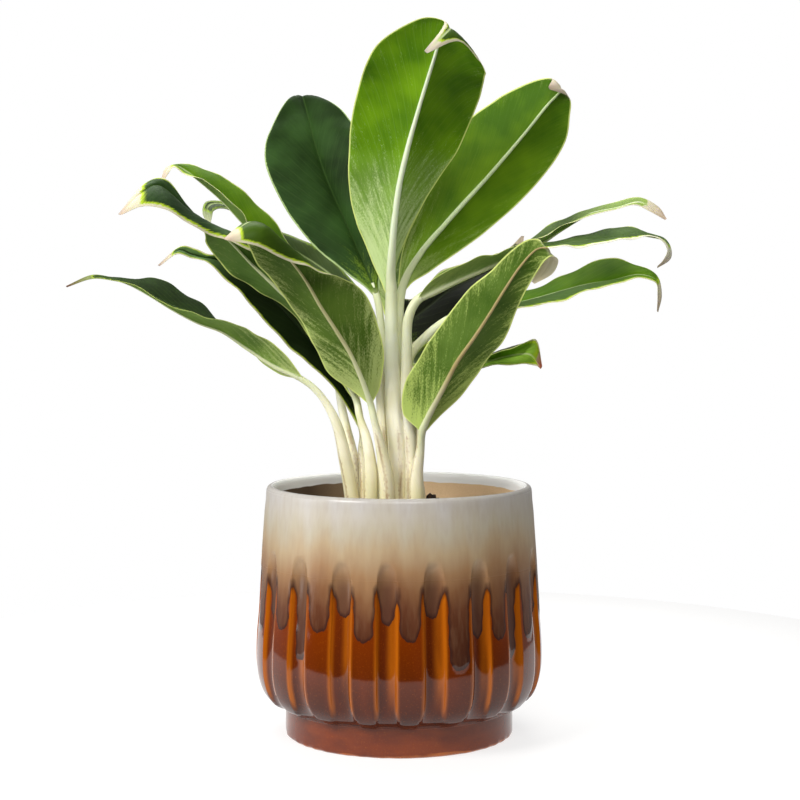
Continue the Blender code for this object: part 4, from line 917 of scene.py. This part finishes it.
    # inside, the glaze stops 6 mm down and bare clay begins
    clay = addNode(tree, "Mix", {0: grain, 6: linear("#dcb88c"), 7: linear("#f0cfa4")}, 2, data_type="RGBA")
    # the bare clay is painted darker towards the pot's left side (-X): painted shade on the inner wall that the lamps
    # leave dark
    paintedLeftShade = addNode(tree, "MapRange", {"Value": addNode(tree, "SeparateXYZ", {"Vector": place}, "X"), "From Min": 0.01,
                                      "From Max": -0.05, "To Max": 0.9})
    clay = addNode(tree, "Mix", {0: paintedLeftShade, 6: clay, 7: linear("#2c1a10")}, 2, data_type="RGBA")
    bandEnd = addNode(tree, "MapRange", {"Value": flow, "From Min": 0.3, "From Max": 0.7, "To Min": 0.1268,
                                         "To Max": 0.1276})
    glazed = addNode(tree, "Math", {0: height, 1: bandEnd}, operation="SUBTRACT")
    glazed = addNode(tree, "MapRange", {"Value": glazed, "From Max": 0.0004})
    inner = addNode(tree, "Mix", {0: glazed, 6: clay, 7: linear("#f3f2ef")}, 2, data_type="RGBA")
    colour = addNode(tree, "Mix", {0: outside, 6: inner, 7: colour}, 2, data_type="RGBA")

    # satin where the grey-white lies thick, glossy on the lip and where it has run, and matt clay inside
    unglazed = addNode(tree, "Math", {0: addNode(tree, "Math", {0: 1.0, 1: outside}, operation="SUBTRACT"),
                                      1: addNode(tree, "Math", {0: 1.0, 1: glazed}, operation="SUBTRACT")},
                       operation="MULTIPLY")
    rough = addNode(tree, "ValToRGB", {"Fac": addNode(tree, "MapRange", {"Value": height, "From Min": 0.05,
                                                                          "From Max": 0.135})},
                    ramp=((0.0, "#4a4a4a"), (0.35, "#5c5c5c"), (0.60, "#a8a8a8"), (0.93, "#a8a8a8"), (0.99, "#606060")))
    rough = addNode(tree, "Mix", {0: unglazed, 2: rough, 3: 0.85}, 0, data_type="FLOAT")
    bump = addNode(tree, "Bump", {"Height": flow, "Strength": 0.25, "Distance": 0.0006})
    finishMaterial(tree, {"Base Color": colour, "Roughness": rough, "Normal": bump, "IOR": 1.42})
    return material


potGrid, potValues = potSurface()
dress(addRings("fluted_pot", potGrid, glazeMaterial(), potValues), "glaze", "pot")
print("pot made:", potGrid.shape)


# ---- soil

soil = {
    "wall": 0.0656, "atWall": 0.1150, "mound": 0.0065, "bump": 0.0008,
    "centre": (-0.006, -0.001), "reach": 0.040,
    "crumbs": 520, "crumbSize": (0.0006, 0.0022), "grits": 26,
    "clod": (0.0185, 0.004, 0.0045, 0.0050), "clodCrumbs": 90,      # a clod beside the stalks: middle, reach and height
}


def soilHeight(x, y):
    # a mound round the stalks, level by the wall, with low waves and finer clods on it
    away = np.hypot(x - soil["centre"][0], y - soil["centre"][1]) / soil["reach"]
    waves = np.sin(310 * x + 1.3) * np.cos(270 * y + 0.4) + 0.6 * np.sin(520 * x - 430 * y)
    return soil["atWall"] + soil["mound"] * np.exp(-(away**4)) + soil["bump"] * waves


def soilSurface():
    # rings from the bottom's middle out, up the wall and in to the top's middle, with clods as random hills
    turn = 2 * np.pi * np.arange(220) / 220
    sides = [(0.030, 0.0094), (0.0484, 0.0094), (0.0532, 0.0128), (0.0619, 0.0224), (0.0656, 0.0344), (0.0656, 0.080)]
    rows = [np.stack([r * np.cos(turn), r * np.sin(turn), z + 0 * turn], axis=-1) for r, z in sides]
    for share in np.linspace(1.0, 0.012, 90):
        x, y = soil["wall"] * share * np.cos(turn), soil["wall"] * share * np.sin(turn)
        clods = 0.0016 * (patches(x, y, 0.0042, 3) - 0.5) + 0.0009 * (patches(x, y, 0.0017, 4) - 0.5)
        rows.append(np.stack([x, y, soilHeight(x, y) + clods], axis=-1))
    return np.array(rows)


def crumbCloud():
    # twenty-sided lumps: each corner of an icosahedron is pushed in or out, then the lump is stretched and set down
    random = np.random.default_rng(11)
    g = (1 + 5**0.5) / 2
    corners = unit(np.array([(-1, g, 0), (1, g, 0), (-1, -g, 0), (1, -g, 0), (0, -1, g), (0, 1, g), (0, -1, -g),
                             (0, 1, -g), (g, 0, -1), (g, 0, 1), (-g, 0, -1), (-g, 0, 1)], float))
    sides = np.array([(0, 11, 5), (0, 5, 1), (0, 1, 7), (0, 7, 10), (0, 10, 11), (1, 5, 9), (5, 11, 4), (11, 10, 2),
                      (10, 7, 6), (7, 1, 8), (3, 9, 4), (3, 4, 2), (3, 2, 6), (3, 6, 8), (3, 8, 9), (4, 9, 5),
                      (2, 4, 11), (6, 2, 10), (8, 6, 7), (9, 8, 1)])
    count = soil["crumbs"]
    size = soil["crumbSize"][0] + (soil["crumbSize"][1] - soil["crumbSize"][0]) * random.random(count)**2.2
    away = 0.0625 * np.sqrt(random.random(count))
    turn = 2 * np.pi * random.random(count)
    x, y = away * np.cos(turn), away * np.sin(turn)
    # the last crumbs are heaped into the clod
    heap = slice(count - soil["clodCrumbs"], count)
    clodX, clodY, clodReach, clodHigh = soil["clod"]
    off = np.sqrt(random.random(soil["clodCrumbs"]))
    x[heap], y[heap] = clodX + clodReach * off * np.cos(turn[heap]), clodY + clodReach * off * np.sin(turn[heap])
    lift = np.zeros(count)
    lift[heap] = clodHigh * (1 - off**2) * random.random(soil["clodCrumbs"])
    shape = corners[None] * (0.75 + 0.5 * random.random((count, 12, 1))) * (0.6 + 0.8 * random.random((count, 1, 3)))
    middle = np.stack([x, y, soilHeight(x, y) + lift + 0.25 * size], axis=-1)
    points = middle[:, None] + shape * size[:, None, None]
    faces = sides[None] + 12 * np.arange(count)[:, None, None]
    pale = np.repeat(np.arange(count) < soil["grits"], 12).astype(float)
    return points.reshape(-1, 3), faces.reshape(-1, 3), pale


# potting mix: damp peat and bark crumbs, nearly black, with a few white grains of perlite
def soilMaterial():
    material, tree = startMaterial("peat potting mix")
    place = addNode(tree, "TexCoord", out="Object")
    pale = addNode(tree, "Attribute", out="Fac", attribute_name="pale")
    clods = addNode(tree, "TexNoise", {"Vector": place, "Scale": 520.0, "Detail": 4.0})
    colour = addNode(tree, "ValToRGB", {"Fac": clods},
                     ramp=((0.30, "#120c09"), (0.50, "#2a1c14"), (0.66, "#46301f"), (0.80, "#6d5138")))
    colour = addNode(tree, "Mix", {0: pale, 6: colour, 7: linear("#cfc8b8")}, 2, data_type="RGBA")
    bump = addNode(tree, "Bump", {"Height": clods, "Strength": 0.8, "Distance": 0.0008})
    finishMaterial(tree, {"Base Color": colour, "Roughness": 0.9, "Normal": bump, "IOR": 1.4})
    return material


peat = soilMaterial()
dress(addRings("soil_bed", soilSurface(), peat), "soil", "soil")
points, faces, pale = crumbCloud()
crumbs = addPiece("soil_crumbs", points, faces.tolist(), peat, {"pale": pale})
crumbs.data.polygons.foreach_set("use_smooth", [False] * len(crumbs.data.polygons))
dress(crumbs, "soil", "soil")
print("soil made:", soil["crumbs"], "crumbs")


# ---- studio

studio = {
    "floorReach": 0.37, "floorCentre": (0.0, 0.10),
    "key": {"place": (-1.05, -0.92, 1.00), "size": (0.65, 0.65), "watts": 25.0},
    "front": {"place": (0.15, -1.40, 1.10), "size": (1.0, 0.7), "watts": 15.5},
    "top": {"place": (-0.10, 0.45, 1.25), "size": (0.9, 0.7), "watts": 11.0},
    "side": {"place": (-1.05, -0.15, 0.20), "size": (0.35, 0.35), "watts": 2.0},
    "aim": (0.0, 0.0, 0.16),
    "worldFront": 0.03, "worldBack": 0.50, "worldRight": 0.85, "worldMirrored": 0.6,
}


def addFloor():
    # a round table top, flat
    reach, (x, y) = studio["floorReach"], studio["floorCentre"]
    turn = 2 * np.pi * np.arange(96) / 96
    rows = [np.stack([x + r * np.cos(turn), y + r * np.sin(turn), z + 0 * turn], axis=-1)
            for r, z in ((0.02, -0.012), (reach, -0.012), (reach + 0.002, -0.006), (reach, 0.0), (0.25, 0.0), (0.02, 0.0))]
    material, tree = startMaterial("white table")
    haze = addNode(tree, "TexNoise", {"Vector": addNode(tree, "TexCoord", out="Object"), "Scale": 6.0})
    colour = addNode(tree, "Mix", {0: haze, 6: linear("#8f8e8c"), 7: linear("#969492")}, 2, data_type="RGBA")
    finishMaterial(tree, {"Base Color": colour, "Roughness": 0.7, "IOR": 1.4, "Specular IOR Level": 0.2,
                          "Emission Color": (1, 1, 1, 1), "Emission Strength": 0.735})
    floor = addRings("table", np.array(rows), material)


def addLamp(name, lamp):
    light = bpy.data.lights.new(name, "AREA")
    light.shape = "RECTANGLE"
    light.size, light.size_y = lamp["size"]
    light.energy = lamp["watts"]
    holder = bpy.data.objects.new(name, light)
    bpy.context.scene.collection.objects.link(holder)
    holder.location = lamp["place"]
    way = np.array(studio["aim"]) - np.array(lamp["place"])
    flat = math.hypot(way[0], way[1])
    holder.rotation_euler = (math.atan2(flat, -way[2]), 0, math.atan2(way[1], way[0]) - math.pi / 2)


def addWorld():
    # dark in front of the object, bright behind it and less so on the right; the picture's ground stays white
    world = bpy.data.worlds.new("studio")
    world.use_nodes = True
    tree = world.node_tree
    tree.nodes.clear()
    way = addNode(tree, "TexCoord", out="Generated")
    split = tree.nodes.new("ShaderNodeSeparateXYZ")
    tree.links.new(way, split.inputs[0])
    behind = addNode(tree, "MapRange", {"Value": split.outputs["Y"], "From Min": -0.25, "From Max": 0.35,
                                        "To Min": studio["worldFront"], "To Max": studio["worldBack"]})
    toRight = addNode(tree, "MapRange", {"Value": split.outputs["X"], "From Min": -0.3, "From Max": 0.6, "To Min": 1.0,
                                         "To Max": studio["worldRight"]})
    light = addNode(tree, "Math", {0: behind, 1: toRight}, operation="MULTIPLY")
    dimmer = addNode(tree, "MapRange", {"Value": addNode(tree, "LightPath", out="Is Glossy Ray"), "To Min": 1.0,
                                        "To Max": studio["worldMirrored"]})
    light = addNode(tree, "Math", {0: light, 1: dimmer}, operation="MULTIPLY")
    seen = addNode(tree, "LightPath", out="Is Camera Ray")
    strength = addNode(tree, "Mix", {0: seen, 2: light, 3: 1.0}, 0, data_type="FLOAT")
    back = addNode(tree, "Background", {"Color": (1, 1, 1, 1), "Strength": strength})
    addNode(tree, "OutputWorld", {"Surface": back})
    bpy.context.scene.world = world


addFloor()
for name in ("key", "front", "top", "side"):
    addLamp(name + " light", studio[name])
addWorld()

view = bpy.data.cameras.new("camera")
view.lens, view.sensor_width, view.clip_start = 85, 36, 0.01
camera = bpy.data.objects.new("camera", view)
bpy.context.scene.collection.objects.link(camera)
camera.location = (0.0005, -1.0, 0.241)
camera.rotation_euler = (math.radians(90 - 3.61), 0, 0)
bpy.context.scene.camera = camera
bpy.context.scene.view_settings.view_transform = "Standard"
print("studio and camera set")
